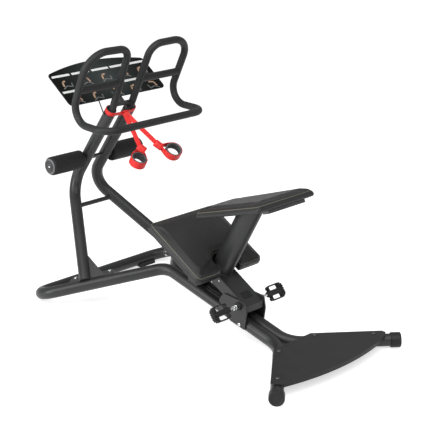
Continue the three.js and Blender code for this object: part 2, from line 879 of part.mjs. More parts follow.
// Each upright's foot is bolted through two plates to the ring.
function buildFlanges() {
  const { matrix, along, back, up, origin } = ringFrame();
  const place = (reach, level) => new THREE.Vector3(reach, flangeBoltInset, level).applyMatrix4(matrix);
  const bores = flangeBolts.map((reach) => rod(place(reach, 10), place(reach, 60), 5 + gap, 16));
  const outline = flangeOutline();
  const lower = plate(outline, lowerFlange, lowerFlange + flangeThickness, matrix);
  const ringRoom = sweep(basePath(1), tubeRadius + gap, 0, 36);
  addPair("ring_flange", keepLargest(cut(lower, ringRoom, ...bores)), paint);

  // The gusset stands in the plane of the upright and the ring.
  const lean = vec(legCorner).sub(vec(legFoot)).normalize();
  const climb = lean.clone().addScaledVector(along, -lean.dot(along)).normalize();
  const foot = vec(legFoot);
  foot.addScaledVector(lean, (flangeTop - 1 - foot.clone().sub(origin).dot(up)) / lean.dot(up));
  const gussetShape = new THREE.Shape([
    new THREE.Vector2(-gussetReach, 0),
    new THREE.Vector2(0, 0),
    new THREE.Vector2(0, gussetHeight),
    new THREE.Vector2(-tubeRadius, gussetHeight),
  ]);
  const gussetFrame = frameAt(foot, along, climb, along.clone().cross(climb));
  const below = block([-300, -300, -300], [300, 300, flangeTop - 1], matrix);
  const uprightRoom = sweep(legPath(1), tubeRadius + gap, 0, 36);
  const gusset = cut(plate(gussetShape, -3, 3, gussetFrame), uprightRoom, ringRoom, below);
  const upper = cut(plate(outline, upperFlange, flangeTop, matrix), ringRoom, ...bores);
  addPair("upright_flange", keepLargest(join(upper, gusset)), paint);

  flangeBolts.forEach((reach, i) => {
    const head = bolt(place(reach, flangeTop + gap), up, 20, 9, 5);
    const nut = rod(place(reach, lowerFlange - gap - 8), place(reach, lowerFlange - gap), 9, 6);
    addPair("flange_bolt_" + (i + 1), join(head, nut), chrome);
  });
}

function keepLargest(geometry) {
  const bodies = solid(geometry).decompose();
  bodies.sort((a, b) => b.volume() - a.volume());
  return geometryOf(bodies[0]);
}

// ---- Foot rollers ----

function rollerPlace() {
  const place = legPath(1).atHeight(rollerHeight);
  return [place.y, place.z];
}

function buildRollers() {
  const at = (x) => vec([x, ...rollerPlace()]);
  add("roller_axle", rod(at(-rollerOuter + 6), at(rollerOuter - 6), rollerAxleRadius, 24), steel);
  eachSide((word, side) => {
    const outward = xAxis.clone().multiplyScalar(side);
    const length = rollerOuter - rollerInner;
    const bore = rollerAxleRadius + 0.4;
    const sleeve = [
      [bore, 0],
      [rollerSleeveRadius, 0],
      [rollerSleeveRadius, length - 4],
      [rollerRadius - 7, length - 4],
      [rollerRadius - 7, length - 1],
      [rollerRadius - 9, length + 1],
      [0, length + 1],
      [0, length - 5],
      [bore, length - 5],
      [bore, 0],
    ];
    add("roller_sleeve_" + word, turned(sleeve, at(side * rollerInner), outward, 28), plastic);
    const foamLength = length - 4 - gap;
    const cover = [
      [rollerSleeveRadius + gap, 0],
      [rollerRadius - 5, 0],
      [rollerRadius, 5],
      [rollerRadius, foamLength - 5],
      [rollerRadius - 5, foamLength],
      [rollerSleeveRadius + gap, foamLength],
      [rollerSleeveRadius + gap, 0],
    ];
    add("roller_foam_" + word, turned(cover, at(side * rollerInner), outward, 28), foam);
  });
}

// ---- Handlebar ----

function buildHandlebar() {
  const path = handlebarPath();
  add("handlebar", sweep(path, barRadius, barWall, barSides), barPaint);
  const cutter = sweep(path, barRadius + gap, 0, barSides);
  const heights = new BentPath([vec(barBase), vec(barTopInner)], []).atHeight(crossGripHeight);
  const outer = new BentPath([vec(barTopOuter), vec(barSideLow)], []).atHeight(crossGripHeight);
  eachSide((word, side) => {
    const grip = rod(onSide(heights.toArray(), side), onSide(outer.toArray(), side), crossGripRadius, barSides);
    add("cross_grip_" + word, keepLargest(cut(grip, cutter)), barPaint);
  });
}

// ---- Chart board ----

function boardFrame() {
  const rise = Math.atan2(boardHigh[1] - boardLow[1], boardHigh[0] - boardLow[0]);
  return slope(boardLow, rise);
}

function buildBoard() {
  const frame = boardFrame();
  const height = Math.hypot(boardHigh[0] - boardLow[0], boardHigh[1] - boardLow[1]);
  const corners = [
    [-boardHalfWidth, 0],
    [boardHalfWidth, 0],
    [boardHalfWidth, height],
  ];
  const archSteps = 12;
  for (let i = 1; i < archSteps; i++) {
    const share = 1 - (2 * i) / archSteps;
    corners.push([boardHalfWidth * share, height + boardArch * (1 - share ** 2)]);
  }
  corners.push([-boardHalfWidth, height]);
  const radii = corners.map((corner) => (Math.abs(corner[0]) === boardHalfWidth ? boardCorner : 0));
  const outline = rounded(corners, radii);
  add("chart_board", plate(outline, -boardSheet, 0, frame), boardPrint);

  const under = -boardSheet - gap;
  const arm = block([-34, 6, under - 5], [34, 130, under], frame);
  const crossY = barBase[1] - 18;
  const cross = block([-60, crossY - 12, 944], [60, crossY + 12, 990]);
  const web = block([-14, crossY - 8, 950], [14, crossY + 50, 1010]);
  const frameCut = block([-200, -200, under], [200, 400, 200], frame);
  const bar = sweep(handlebarPath(), barRadius + gap, 0, barSides);
  add("board_bracket", keepLargest(cut(join(arm, cross, web), frameCut, bar)), steel);

  const band = bandFrame();
  eachSide((word, side) => {
    const high = new THREE.Vector3(side * 124, 5, under).applyMatrix4(frame);
    const low = onSide(legTop, side).addScaledVector(band.up, -14);
    const start = new THREE.Vector3(side * (legTop[0] + tubeRadius - 1), low.y, low.z);
    const stay = rod(start, high, stayRadius, 10);
    const upright = sweep(legPath(side), tubeRadius + gap, 0, 32);
    const room = block([-400, -100, under], [400, 300, 100], frame);
    add("board_stay_" + word, keepLargest(cut(stay, upright, room)), steel);
  });
}

// ---- Straps ----

// Frame at the uprights' top end: across, forward-normal, and up along the uprights.
function bandFrame() {
  const up = vec(legTop).sub(vec(legCorner)).normalize();
  const across = up.clone().cross(xAxis);
  return { up, matrix: frameAt(new THREE.Vector3(0, legTop[1], legTop[2]), xAxis, across, up) };
}

function stadium(radius) {
  const points = [];
  const steps = 10;
  for (let i = 0; i <= steps; i++) {
    const angle = -Math.PI / 2 + (Math.PI * i) / steps;
    points.push(new THREE.Vector2(legTop[0] + radius * Math.cos(angle), radius * Math.sin(angle)));
  }
  for (let i = 0; i <= steps; i++) {
    const angle = Math.PI / 2 + (Math.PI * i) / steps;
    points.push(new THREE.Vector2(-legTop[0] + radius * Math.cos(angle), radius * Math.sin(angle)));
  }
  return points;
}

function strapSolid(route) {
  const curve = new THREE.CatmullRomCurve3(route.map(vec));
  const half = strapWidth / 2;
  const thin = webThickness / 2;
  const section = rounded([[-thin, -half], [thin, -half], [thin, half], [-thin, half]], 0);
  return new THREE.ExtrudeGeometry(section, { steps: 22, extrudePath: curve, bevelEnabled: false });
}

function cuffFrame(place) {
  const turn = new THREE.Quaternion().setFromUnitVectors(zAxis, vec(place.axis).normalize());
  return new THREE.Matrix4().compose(vec(place.centre), turn, new THREE.Vector3(1, 1, 1));
}

function ring(outer, wall, half, frame) {
  const shape = new THREE.Shape(circlePoints(outer, 24));
  shape.holes.push(new THREE.Path(circlePoints(outer - wall, 24)));
  return plate(shape, -half, half, frame);
}

function buildStraps() {
  const { matrix } = bandFrame();
  const outline = new THREE.Shape(stadium(bandInside + webThickness));
  outline.holes.push(new THREE.Path(stadium(bandInside)));
  add("strap_band", plate(outline, 1.5, 1.5 + bandWidth, matrix), webbing);
  const words = ["left", "right"];
  strapRoutes.forEach((route, i) => {
    const frame = cuffFrame(cuffPlaces[i]);
    const band = plate(new THREE.Shape(stadium(bandInside + webThickness + gap)), -4, bandWidth + 8, matrix);
    const room = ring(cuffRadius + gap, 12, cuffHeight / 2 + gap, frame);
    const place = cuffPlaces[i];
    const across = vec([0.55, -0.55, -0.6]).normalize();
    const rollFrom = vec(place.roll).addScaledVector(across, -rollLength / 2);
    const rollTo = vec(place.roll).addScaledVector(across, rollLength / 2);
    const rollRoom = rod(rollFrom, rollTo, rollRadius + gap, 16);
    add("strap_" + words[i], keepLargest(cut(strapSolid(route), band, room, rollRoom)), webbing);
    const axis = vec(place.axis).normalize();
    const toRoll = vec(place.roll).sub(vec(place.centre));
    toRoll.addScaledVector(axis, -toRoll.dot(axis)).normalize();
    const wall = vec(place.centre).addScaledVector(toRoll, cuffRadius - webThickness);
    const tongue = rod(vec(place.roll), wall.addScaledVector(axis, cuffHeight / 2 - 12), 9, 12);
    const reach = axis.clone().multiplyScalar(cuffHeight);
    const hole = rod(vec(place.centre).sub(reach), vec(place.centre).add(reach), cuffRadius - webThickness, 24);
    const body = join(ring(cuffRadius, webThickness, cuffHeight / 2, frame), cut(tongue, hole));
    add("cuff_" + words[i], keepLargest(join(body, rod(rollFrom, rollTo, rollRadius, 16))), webbing);
    add("cuff_pad_" + words[i], ring(cuffRadius - webThickness - gap, cuffPad, cuffHeight / 2, frame), lining);
  });
}

buildBase();
buildTread();
buildPedals();
buildCover();
buildPad();
buildSeat();
buildUprights();
buildFlanges();
buildRollers();
buildHandlebar();
buildBoard();
buildStraps();

// The origin is the middle of the footprint, on the floor. Straps hang free, so they don't count.
const hanging = /^(strap|cuff)_(pad_)?(left|right)$/;
const bounds = new THREE.Box3();
for (const mesh of root.children) {
  if (!hanging.test(mesh.name)) bounds.expandByObject(mesh);
}
const middle = bounds.getCenter(new THREE.Vector3());
for (const mesh of root.children) mesh.geometry.translate(-middle.x, -middle.y, -bounds.min.z);

export default root;
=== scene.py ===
# Stretching station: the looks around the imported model.
# Pieces are modelled in millimetres from the tips of the front feet, and toMetres puts them in the frame.
import math

import bmesh
import bpy
from mathutils import Matrix, Vector, noise
from mathutils.bvhtree import BVHTree


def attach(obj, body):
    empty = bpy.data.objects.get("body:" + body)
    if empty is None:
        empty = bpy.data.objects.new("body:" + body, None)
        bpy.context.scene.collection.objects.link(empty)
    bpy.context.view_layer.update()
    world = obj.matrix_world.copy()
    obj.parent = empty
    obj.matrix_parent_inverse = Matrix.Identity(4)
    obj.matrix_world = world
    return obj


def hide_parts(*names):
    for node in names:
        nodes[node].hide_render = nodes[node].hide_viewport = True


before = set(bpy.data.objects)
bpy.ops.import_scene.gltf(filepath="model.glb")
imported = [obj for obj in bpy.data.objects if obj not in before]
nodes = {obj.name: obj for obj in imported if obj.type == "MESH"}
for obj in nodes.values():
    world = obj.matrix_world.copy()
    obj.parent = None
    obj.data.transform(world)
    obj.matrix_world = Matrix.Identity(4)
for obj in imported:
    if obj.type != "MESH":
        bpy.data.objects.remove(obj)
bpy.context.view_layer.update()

mm = 0.001
frameMiddle = 827.585  # the frame's origin, along Y from the front feet
toMetres = Matrix.Scale(mm, 4) @ Matrix.Translation((0, -frameMiddle, 0))
acrossX = Vector((1, 0, 0))
sides = (("right", 1), ("left", -1))


# Camera.
camera = {"place": (-3.61256, -3.721925, 2.25262), "turn": (71.2505, 0, -45.0205), "lens": 98.05}


def setCamera():
    turn = [math.radians(angle) for angle in camera["turn"]]
    bpy.ops.object.camera_add(location=camera["place"], rotation=turn)
    eye = bpy.context.object
    eye.data.lens = camera["lens"]
    eye.data.sensor_width = 36
    eye.data.clip_end = 200
    bpy.context.scene.camera = eye


# Shader sums.
class Wire:  # a socket that can stand in a sum
    def __init__(self, finish, socket):
        self.finish = finish
        self.socket = socket

    def sum(self, operation, left, right=0.0):
        return self.finish.node("ShaderNodeMath", {"operation": operation}, {0: left, 1: right})

    def __add__(self, other):
        return self.sum("ADD", self, other)

    def __sub__(self, other):
        return self.sum("SUBTRACT", self, other)

    def __rsub__(self, other):
        return self.sum("SUBTRACT", other, self)

    def __mul__(self, other):
        return self.sum("MULTIPLY", self, other)

    def __truediv__(self, other):
        return self.sum("DIVIDE", self, other)

    __radd__ = __add__
    __rmul__ = __mul__

    def sine(self):
        return self.sum("SINE", self)

    def size(self):
        return self.sum("ABSOLUTE", self)

    def within(self, low, high):
        values = {"Value": self, "From Min": low, "From Max": high}
        return self.finish.node("ShaderNodeMapRange", {"clamp": True}, values)


class Finish:
    def __init__(self, name):
        self.material = bpy.data.materials.new(name)
        self.material.use_nodes = True
        self.tree = self.material.node_tree
        self.shader = self.tree.nodes["Principled BSDF"]
        self.place = self.node("ShaderNodeTexCoord", output="Object")

    def feed(self, socket, value):
        if isinstance(value, Wire):
            self.tree.links.new(value.socket, socket)
        elif isinstance(value, tuple) and len(value) == 3 and socket.type == "RGBA":
            socket.default_value = (*value, 1)
        else:
            socket.default_value = value

    def node(self, kind, settings=None, values=None, output=0):
        made = self.tree.nodes.new(kind)
        for key, value in (settings or {}).items():
            if key == "stops":
                self.setStops(made.color_ramp, value)
            else:
                setattr(made, key, value)
        for key, value in (values or {}).items():
            self.feed(made.inputs[key], value)
        return Wire(self, made.outputs[output])

    def setStops(self, ramp, stops):
        for i, (spot, colour) in enumerate(stops):
            stop = ramp.elements[i] if i < 2 else ramp.elements.new(spot)
            stop.position = spot
            stop.color = (*colour, 1)

    def cloud(self, scale, detail=2.0, rough=0.5, at=None):
        values = {"Vector": at or self.place, "Scale": scale, "Detail": detail, "Roughness": rough}
        return self.node("ShaderNodeTexNoise", None, values)

    def cells(self, scale, feature="F1"):
        values = {"Vector": self.place, "Scale": scale}
        return self.node("ShaderNodeTexVoronoi", {"feature": feature}, values)

    def blend(self, share, first, second):
        values = {0: share, 6: first, 7: second}
        return self.node("ShaderNodeMix", {"data_type": "RGBA"}, values, 2)

    def raised(self, height, strength, reach):
        return self.node("ShaderNodeBump", None, {"Height": height, "Strength": strength, "Distance": reach})

    def show(self, **values):
        for key, value in values.items():
            self.feed(self.shader.inputs[key.replace("_", " ")], value)
        return self.material


# Finishes.
paintLook = {
    "frame": {
        "dark": (0.0125, 0.0127, 0.013), "light": (0.0185, 0.0188, 0.0193),
        "roughness": 0.42, "bump": 0.03, "shine": 0.45,
    },
    "bar": {
        "dark": (0.0165, 0.0168, 0.0172), "light": (0.025, 0.0253, 0.026),
        "roughness": 0.5, "bump": 0.22, "shine": 0.22,
    },
    "grain": 900, "cloud": 7, "scuff": 34,
}
leatherLook = {"dark": (0.0155, 0.0155, 0.016), "light": (0.025, 0.025, 0.0255), "pebble": 620, "bump": 0.32}
# The piping cord's pale brownish colour is painted reflection: the sheen seen along the seam, put into the
# cord's own colour.
pipingSheenLook = {"dark": (0.10, 0.098, 0.07), "light": (0.2, 0.19, 0.14)}
plasticLook = {
    "black": {"colour": (0.0145, 0.0145, 0.015), "roughness": 0.5},
    "grey": {"colour": (0.125, 0.126, 0.129), "roughness": 0.4},
    "hub": {"colour": (0.038, 0.038, 0.04), "roughness": 0.35},
    "board": {"colour": (0.012, 0.012, 0.013), "roughness": 0.6},
}
webLook = {"dark": (0.62, 0.01, 0.01), "light": (0.86, 0.028, 0.024), "rib": 0.0017, "pick": 0.0024}
liningLook = {"dark": (0.035, 0.037, 0.04), "light": (0.12, 0.125, 0.13), "knit": 900}


def makePaint(name, look):
    finish = Finish(name)
    cloud = finish.cloud(paintLook["cloud"], 5)
    grain = finish.cloud(paintLook["grain"], 2)
    scuff = finish.cloud(paintLook["scuff"], 8, 0.75).within(0.62, 0.78)
    coat = finish.blend(cloud.within(0.3, 0.7), look["dark"], look["light"])
    worn = tuple(value * 1.7 for value in look["light"])
    colour = finish.blend(scuff * 0.35, coat, worn)
    gloss = look["roughness"] + (cloud - 0.5) * 0.14 + scuff * 0.04 + (grain - 0.5) * 0.03
    normal = finish.raised(grain, look["bump"], 0.0003)
    return finish.show(Base_Color=colour, Roughness=gloss, Normal=normal, Specular_IOR_Level=look["shine"])


def makeLeather(name):
    finish = Finish(name)
    pebble = finish.cells(leatherLook["pebble"], "DISTANCE_TO_EDGE").within(0.0, 0.35)
    fine = finish.cloud(1800, 3)
    crease = finish.cloud(48, 6, 0.65)
    handled = finish.cloud(5, 3)
    colour = finish.blend(handled.within(0.35, 0.7), leatherLook["dark"], leatherLook["light"])
    # The creases between the pebbles are darkened towards near-black: painted shade in the grain's recesses.
    colour = finish.blend((1 - pebble) * 0.4, colour, (0.007, 0.007, 0.007))
    height = pebble * 0.7 + fine * 0.15 + crease * 0.6
    gloss = 0.44 + (crease - 0.5) * 0.2 - handled * 0.08 + (1 - pebble) * 0.12
    normal = finish.raised(height, leatherLook["bump"], 0.0005)
    return finish.show(Base_Color=colour, Roughness=gloss, Normal=normal, Specular_IOR_Level=0.34)


def makeCordedTrim(name, look):
    finish = Finish(name)
    twist = finish.cloud(900, 4)
    colour = finish.blend(twist, look["dark"], look["light"])
    normal = finish.raised(twist, 0.4, 0.0002)
    return finish.show(Base_Color=colour, Roughness=0.55 + twist * 0.2, Normal=normal)


def makePlastic(name, look, grain=1400):
    finish = Finish(name)
    stipple = finish.cells(grain)
    cloud = finish.cloud(22, 4)
    pale = tuple(value * 1.45 for value in look["colour"])
    colour = finish.blend(cloud.within(0.35, 0.75), look["colour"], pale)
    gloss = look["roughness"] + (cloud - 0.5) * 0.16
    normal = finish.raised(stipple, 0.16, 0.0002)
    return finish.show(Base_Color=colour, Roughness=gloss, Normal=normal, Specular_IOR_Level=0.25)


def makeFoam(name):
    finish = Finish(name)
    pores = finish.cells(1100)
    skin = finish.cloud(90, 6, 0.7)
    colour = finish.blend(skin.within(0.3, 0.75), (0.009, 0.009, 0.0093), (0.019, 0.019, 0.0195))
    height = pores * 0.6 + skin * 0.8
    normal = finish.raised(height, 0.35, 0.0006)
    return finish.show(Base_Color=colour, Roughness=0.5 + skin * 0.25, Normal=normal, Specular_IOR_Level=0.25)


def makeRubber(name):
    finish = Finish(name)
    dust = finish.cloud(60, 7, 0.7)
    colour = finish.blend(dust.within(0.45, 0.8), (0.01, 0.01, 0.01), (0.035, 0.034, 0.032))
    normal = finish.raised(dust, 0.3, 0.0004)
    return finish.show(Base_Color=colour, Roughness=0.75 + dust * 0.2, Normal=normal)


def makeMetal(name, pale, dark, roughness, brush=1600):
    finish = Finish(name)
    stretched = finish.node("ShaderNodeMapping", None, {"Vector": finish.place, "Scale": (0.06, 1, 1)})
    lines = finish.cloud(brush, 3, 0.6, stretched)
    stain = finish.cloud(40, 5)
    colour = finish.blend(stain.within(0.4, 0.8), pale, dark)
    gloss = roughness + (lines - 0.5) * 0.12 + stain * 0.08
    normal = finish.raised(lines, 0.08, 0.0001)
    return finish.show(Base_Color=colour, Roughness=gloss, Metallic=1.0, Normal=normal)


def makeWebbing(name):
    finish = Finish(name)
    spot = finish.node("ShaderNodeUVMap", {"uv_map": "weave"})
    split = finish.node("ShaderNodeSeparateXYZ", None, {"Vector": spot}, "X")
    along = split
    across = Wire(finish, split.socket.node.outputs["Y"])
    turn = 2 * math.pi
    cords = (across * (turn / webLook["rib"])).sine().size()
    picks = (along * (turn / webLook["pick"]) + across * (turn / webLook["rib"]) * 0.5).sine()
    weave = cords * 0.65 + picks * 0.25 + 0.2
    worn = finish.cloud(30, 5)
    share = weave.within(0.0, 0.95) * 0.45 + worn.within(0.3, 0.8) * 0.2 + 0.35
    colour = finish.blend(share, webLook["dark"], webLook["light"])
    normal = finish.raised(weave, 0.14, 0.0002)
    return finish.show(Base_Color=colour, Roughness=0.4 + worn * 0.2, Normal=normal)


def makeLining(name):
    finish = Finish(name)
    knit = finish.cells(liningLook["knit"])
    fleck = finish.cloud(700, 4, 0.8)
    colour = finish.blend(fleck.within(0.35, 0.7), liningLook["dark"], liningLook["light"])
    height = knit * 0.7 + fleck * 0.5
    return finish.show(Base_Color=colour, Roughness=0.9, Normal=finish.raised(height, 0.5, 0.0008))


def makePrint(name, centre):
    finish = Finish(name)
    toCentre = finish.node(
        "ShaderNodeVectorMath", {"operation": "SUBTRACT"}, {0: finish.place, 1: tuple(centre)}
    )
    away = finish.node("ShaderNodeVectorMath", {"operation": "LENGTH"}, {0: toCentre}, "Value")
    glow = away.within(0.02, 0.27)
    stops = [(0.0, (0.035, 0.043, 0.042)), (0.55, (0.012, 0.016, 0.015)), (1.0, (0.0018, 0.0018, 0.0016))]
    colour = finish.node("ShaderNodeValToRGB", {"stops": stops}, {"Fac": glow})
    dots = finish.cloud(1500, 2)
    gloss = 0.34 + (finish.cloud(18, 4) - 0.5) * 0.12
    normal = finish.raised(dots, 0.05, 0.0001)
    return finish.show(Base_Color=colour, Roughness=gloss, Normal=normal, Specular_IOR_Level=0.1)


def makeInk(name, colour, spread=0.12):
    finish = Finish(name)
    wear = finish.cloud(160, 6, 0.7)
    faded = tuple(value * (1 - spread) for value in colour)
    ink = finish.blend(wear, colour, faded)
    return finish.show(Base_Color=ink, Roughness=0.4 + wear * 0.1, Normal=finish.raised(wear, 0.05, 0.0001))


finishes = {
    "frame_paint": makePaint("framePaint", paintLook["frame"]),
    "bar_paint": makePaint("barPaint", paintLook["bar"]),
    "bright_metal": makeMetal("brightMetal", (0.72, 0.73, 0.74), (0.5, 0.5, 0.51), 0.2),
    "dark_steel": makeMetal("darkSteel", (0.10, 0.10, 0.105), (0.06, 0.06, 0.062), 0.42),
    "plastic": makePlastic("blackPlastic", plasticLook["black"]),
    "upholstery": makeLeather("leather"),
    "foam": makeFoam("foamSkin"),
    "rubber": makeRubber("rubber"),
    "webbing": makeWebbing("redWebbing"),
    "lining": makeLining("cuffLining"),
    "label": makePlastic("blankLabel", {"colour": (0.0098, 0.0092, 0.009), "roughness": 0.3}, 600),
}
dullMetal = makeMetal("dullMetal", (0.17, 0.17, 0.172), (0.09, 0.09, 0.092), 0.45)
greyPlastic = makePlastic("greyPlastic", plasticLook["grey"])
hubPlastic = makePlastic("hubPlastic", plasticLook["hub"])
boardPlastic = makePlastic("boardPlastic", plasticLook["board"], 500)
# The piping finish carries a painted reflection: a pale brownish sheen in place of the cord's dark colour.
pipingSheenFinish = makeCordedTrim("pipingPaintedSheen", pipingSheenLook)
threadFinish = makeCordedTrim("darkThread", {"dark": (0.012, 0.012, 0.012), "light": (0.035, 0.035, 0.034)})
barInk = makeInk("barInk", (0.7, 0.71, 0.7))
greyInk = makeInk("greyInk", (0.13, 0.135, 0.135))
warmInk = makeInk("warmInk", (0.42, 0.27, 0.18))
print("finishes made:", len(bpy.data.materials))


# Modelling helpers.
def only(*objects):
    bpy.ops.object.select_all(action="DESELECT")
    for item in objects:
        item.select_set(True)
    bpy.context.view_layer.objects.active = objects[0]


def applied(piece, kind, **settings):
    only(piece)
    modifier = piece.modifiers.new(kind.lower(), kind)
    for key, value in settings.items():
        setattr(modifier, key, value)
    bpy.ops.object.modifier_apply(modifier=modifier.name)
    return piece


# A new primitive, with nothing else selected.
def started(name, primitive, **settings):
    bpy.ops.object.select_all(action="DESELECT")
    primitive(**settings)
    return named(name)


# Runs edit-mode steps on the whole mesh. A step is an operator and its settings.
def edited(piece, *steps):
    only(piece)
    bpy.ops.object.mode_set(mode="EDIT")
    bpy.ops.mesh.select_all(action="SELECT")
    for operator, settings in steps:
        operator(**settings)
    bpy.ops.object.mode_set(mode="OBJECT")


def smooth(piece, angle=32):
    only(piece)
    bpy.ops.object.shade_smooth_by_angle(angle=math.radians(angle))
    return piece


# Smooth shading that keeps broad flat faces flat.
def weighted(piece, angle=32):
    smooth(piece, angle)
    return applied(piece, "WEIGHTED_NORMAL", weight=80, keep_sharp=True)


def eased(piece, width, angle=38, segments=2):
    return applied(
        piece, "BEVEL", width=width, segments=segments, limit_method="ANGLE", angle_limit=math.radians(angle)
    )


def settle(piece, finish, slot, body="frame", stands=(), matrix=toMetres):
    if matrix:
        piece.data.transform(matrix)
    piece.data.materials.clear()
    piece.data.materials.append(finish or finishes[slot])
    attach(piece, body)
    if stands:
        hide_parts(*stands)
    return piece


def made(name, mesh):
    piece = bpy.data.objects.new(name, mesh)
    bpy.context.scene.collection.objects.link(piece)
    return piece


def named(name):
    piece = bpy.context.object
    piece.name = name
    piece.data.name = name
    return piece


# A CAD node's own shape with its edges eased, on a copy.
def skin(node, width=0.7, finish=None, slot="plastic"):
    piece = made(node + "_skin", nodes[node].data.copy())
    edited(
        piece, (bpy.ops.mesh.customdata_custom_splitnormals_clear, {}),
        (bpy.ops.mesh.remove_doubles, {"threshold": 0.00002}),
        (bpy.ops.mesh.dissolve_limited, {"angle_limit": math.radians(0.6)}),
    )
    if width:
        eased(piece, width * mm)
    return settle(weighted(piece), finish, slot, "frame", [node], None)


# A round bar along a line of points.
def tube(name, points, radius, closed=False, detail=8):
    line = started(name, bpy.ops.curve.primitive_bezier_curve_add)
    line.data.splines.clear()
    spline = line.data.splines.new("POLY")
    spline.points.add(len(points) - 1)
    for spot, point in zip(spline.points, points):
        spot.co = (*point, 1)
    spline.use_cyclic_u = closed
    line.data.dimensions = "3D"
    line.data.bevel_depth = radius
    line.data.bevel_resolution = detail
    line.data.use_fill_caps = not closed
    only(line)
    bpy.ops.object.convert(target="MESH")
    piece = bpy.context.object
    return smooth(piece, 40)


def bentLine(corners, radii, steps=14):
    points = [corners[0]]
    for before, corner, after, radius in zip(corners, corners[1:], corners[2:], radii):
        inward = (corner - before).normalized()
        outward = (after - corner).normalized()
        turn = inward.angle(outward)
        start = corner - inward * radius * math.tan(turn / 2)
        toCentre = (outward - inward * inward.dot(outward)).normalized()
        for i in range(steps + 1):
            angle = turn * i / steps
            step = inward * math.sin(angle) + toCentre * (1 - math.cos(angle))
            points.append(start + step * radius)
    return points + [corners[-1]]


def mirror(points):
    return [Vector((-p.x, p.y, p.z)) for p in points]


def onSide(side, x, y, z):
    return Vector((side * x, y, z))


def aim(foot, direction):
    turn = Vector((0, 0, 1)).rotation_difference(direction.normalized())
    return Matrix.Translation(foot) @ turn.to_matrix().to_4x4()


everything = (bpy.ops.mesh.select_all, {"action": "SELECT"})
outwards = (bpy.ops.mesh.normals_make_consistent, {"inside": False})


# A turned piece. The profile's pairs are radius and length along the axis.
def turned(name, profile, foot, direction, steps=48):
    piece = started(name, bpy.ops.mesh.primitive_circle_add, vertices=len(profile), radius=10)
    for vertex, (radius, length) in zip(piece.data.vertices, profile):
        vertex.co = (radius, 0, length)
    if profile[0][0] == 0 and profile[-1][0] == 0:  # the edge that closes the circle lies on the axis
        ends = {0, len(profile) - 1}
        bpy.ops.object.mode_set(mode="EDIT")
        bpy.ops.mesh.select_mode(type="EDGE")
        bpy.ops.object.mode_set(mode="OBJECT")
        for edge in piece.data.edges:
            edge.select = set(edge.vertices) == ends
        bpy.ops.object.mode_set(mode="EDIT")
        bpy.ops.mesh.delete(type="EDGE")
        bpy.ops.mesh.select_mode(type="VERT")
        bpy.ops.object.mode_set(mode="OBJECT")
    aroundAxis = {"steps": steps, "angle": 2 * math.pi, "center": (0, 0, 0), "axis": (0, 0, 1)}
    merge = {"threshold": 0.002}
    edited(piece, (bpy.ops.mesh.spin, aroundAxis), everything, (bpy.ops.mesh.remove_doubles, merge), outwards)
    piece.data.transform(aim(foot, direction))
    return smooth(piece)


# A flat piece: an outline raised from one level to another.
def slab(name, outline, low, high, matrix=Matrix.Identity(4), ease=0.0):
    settings = {"vertices": len(outline), "radius": 10, "fill_type": "NGON"}
    piece = started(name, bpy.ops.mesh.primitive_circle_add, **settings)
    for vertex, (x, y) in zip(piece.data.vertices, outline):
        vertex.co = (x, y, low)
    rise = {"TRANSFORM_OT_translate": {"value": (0, 0, high - low)}}
    edited(piece, (bpy.ops.mesh.extrude_region_move, rise), everything, outwards)
    if ease:
        eased(piece, ease, 50)
    piece.data.transform(matrix)
    return weighted(piece)


def joined(name, *pieces):
    only(*pieces)
    bpy.ops.object.join()
    return named(name)


def rounded(corners, radii, steps=8):
    points = []
    for i, corner in enumerate(corners):
        here, before, after = Vector(corner), Vector(corners[i - 1]), Vector(corners[(i + 1) % len(corners)])
        radius = radii[i] if isinstance(radii, list) else radii
        if not radius:
            points.append(tuple(here))
            continue
        inward, outward = (here - before).normalized(), (after - here).normalized()
        turn = inward.angle(outward)
        side = 1 if inward.cross(outward) > 0 else -1
        toCentre = Vector((-inward.y, inward.x)) * side
        start = here - inward * radius * math.tan(turn / 2)
        for k in range(steps + 1):
            angle = turn * k / steps
            spot = start + inward * radius * math.sin(angle) + toCentre * radius * (1 - math.cos(angle))
            points.append(tuple(spot))
    return points


# A frame that climbs along Y: its second axis follows the slope, its third stands off it.
def slope(front, angle):
    c, s = math.cos(angle), math.sin(angle)
    return Matrix(((1, 0, 0, 0), (0, c, -s, front[0]), (0, s, c, front[1]), (0, 0, 0, 1)))


# Moves each vertex along its normal by what amount(place, normal) gives.
def swelled(piece, amount):
    normals = [vertex.normal.copy() for vertex in piece.data.vertices]
    for vertex, normal in zip(piece.data.vertices, normals):
        vertex.co = vertex.co + normal * amount(vertex.co, normal)
    return piece


# A weld bead along a line: a thin tube with ripples.
def bead(name, points, radius, closed=True):
    def ripple(co, normal):
        return (noise.noise(co * 0.55) * 0.5 + noise.noise(co * 0.16) * 0.4) * radius * 0.6

    return swelled(tube(name, points, radius, closed, 3), ripple)


# Frame tubes.
tubeSize = {
    "radius": 28.5, "spineX": 28.71, "footHeight": 34,
    "capFace": (408, -11.5), "capLength": 46, "capGrip": 36,
    "spineStart": 318, "spineEnd": (1042, 209), "rearCorner": (537, 1576, 32), "bends": (140, 110, 93),
}
legSize = {
    "top": (59, 1395, 908), "corner": (59, 1698, 499), "foot": (301.5, 1324, 136), "bend": 114,
    "neckRadius": 24.5, "neckLength": 26, "braceHeight": 406, "braceRadius": 11,
}
barSize = {
    "radius": 17.5, "insert": 22, "bends": (64, 103, 78, 69), "gripHeight": 1066,
    "corners": [(57, 1376, 930), (67, 1229, 1239), (310, 1226, 1245), (302, 1388, 910), (309, 1126, 903)],
}


def footAim(side):
    cap, start = tubeSize["capFace"], tubeSize["spineStart"]
    return onSide(side, cap[0] - tubeSize["spineX"], cap[1] - start, 0).normalized()


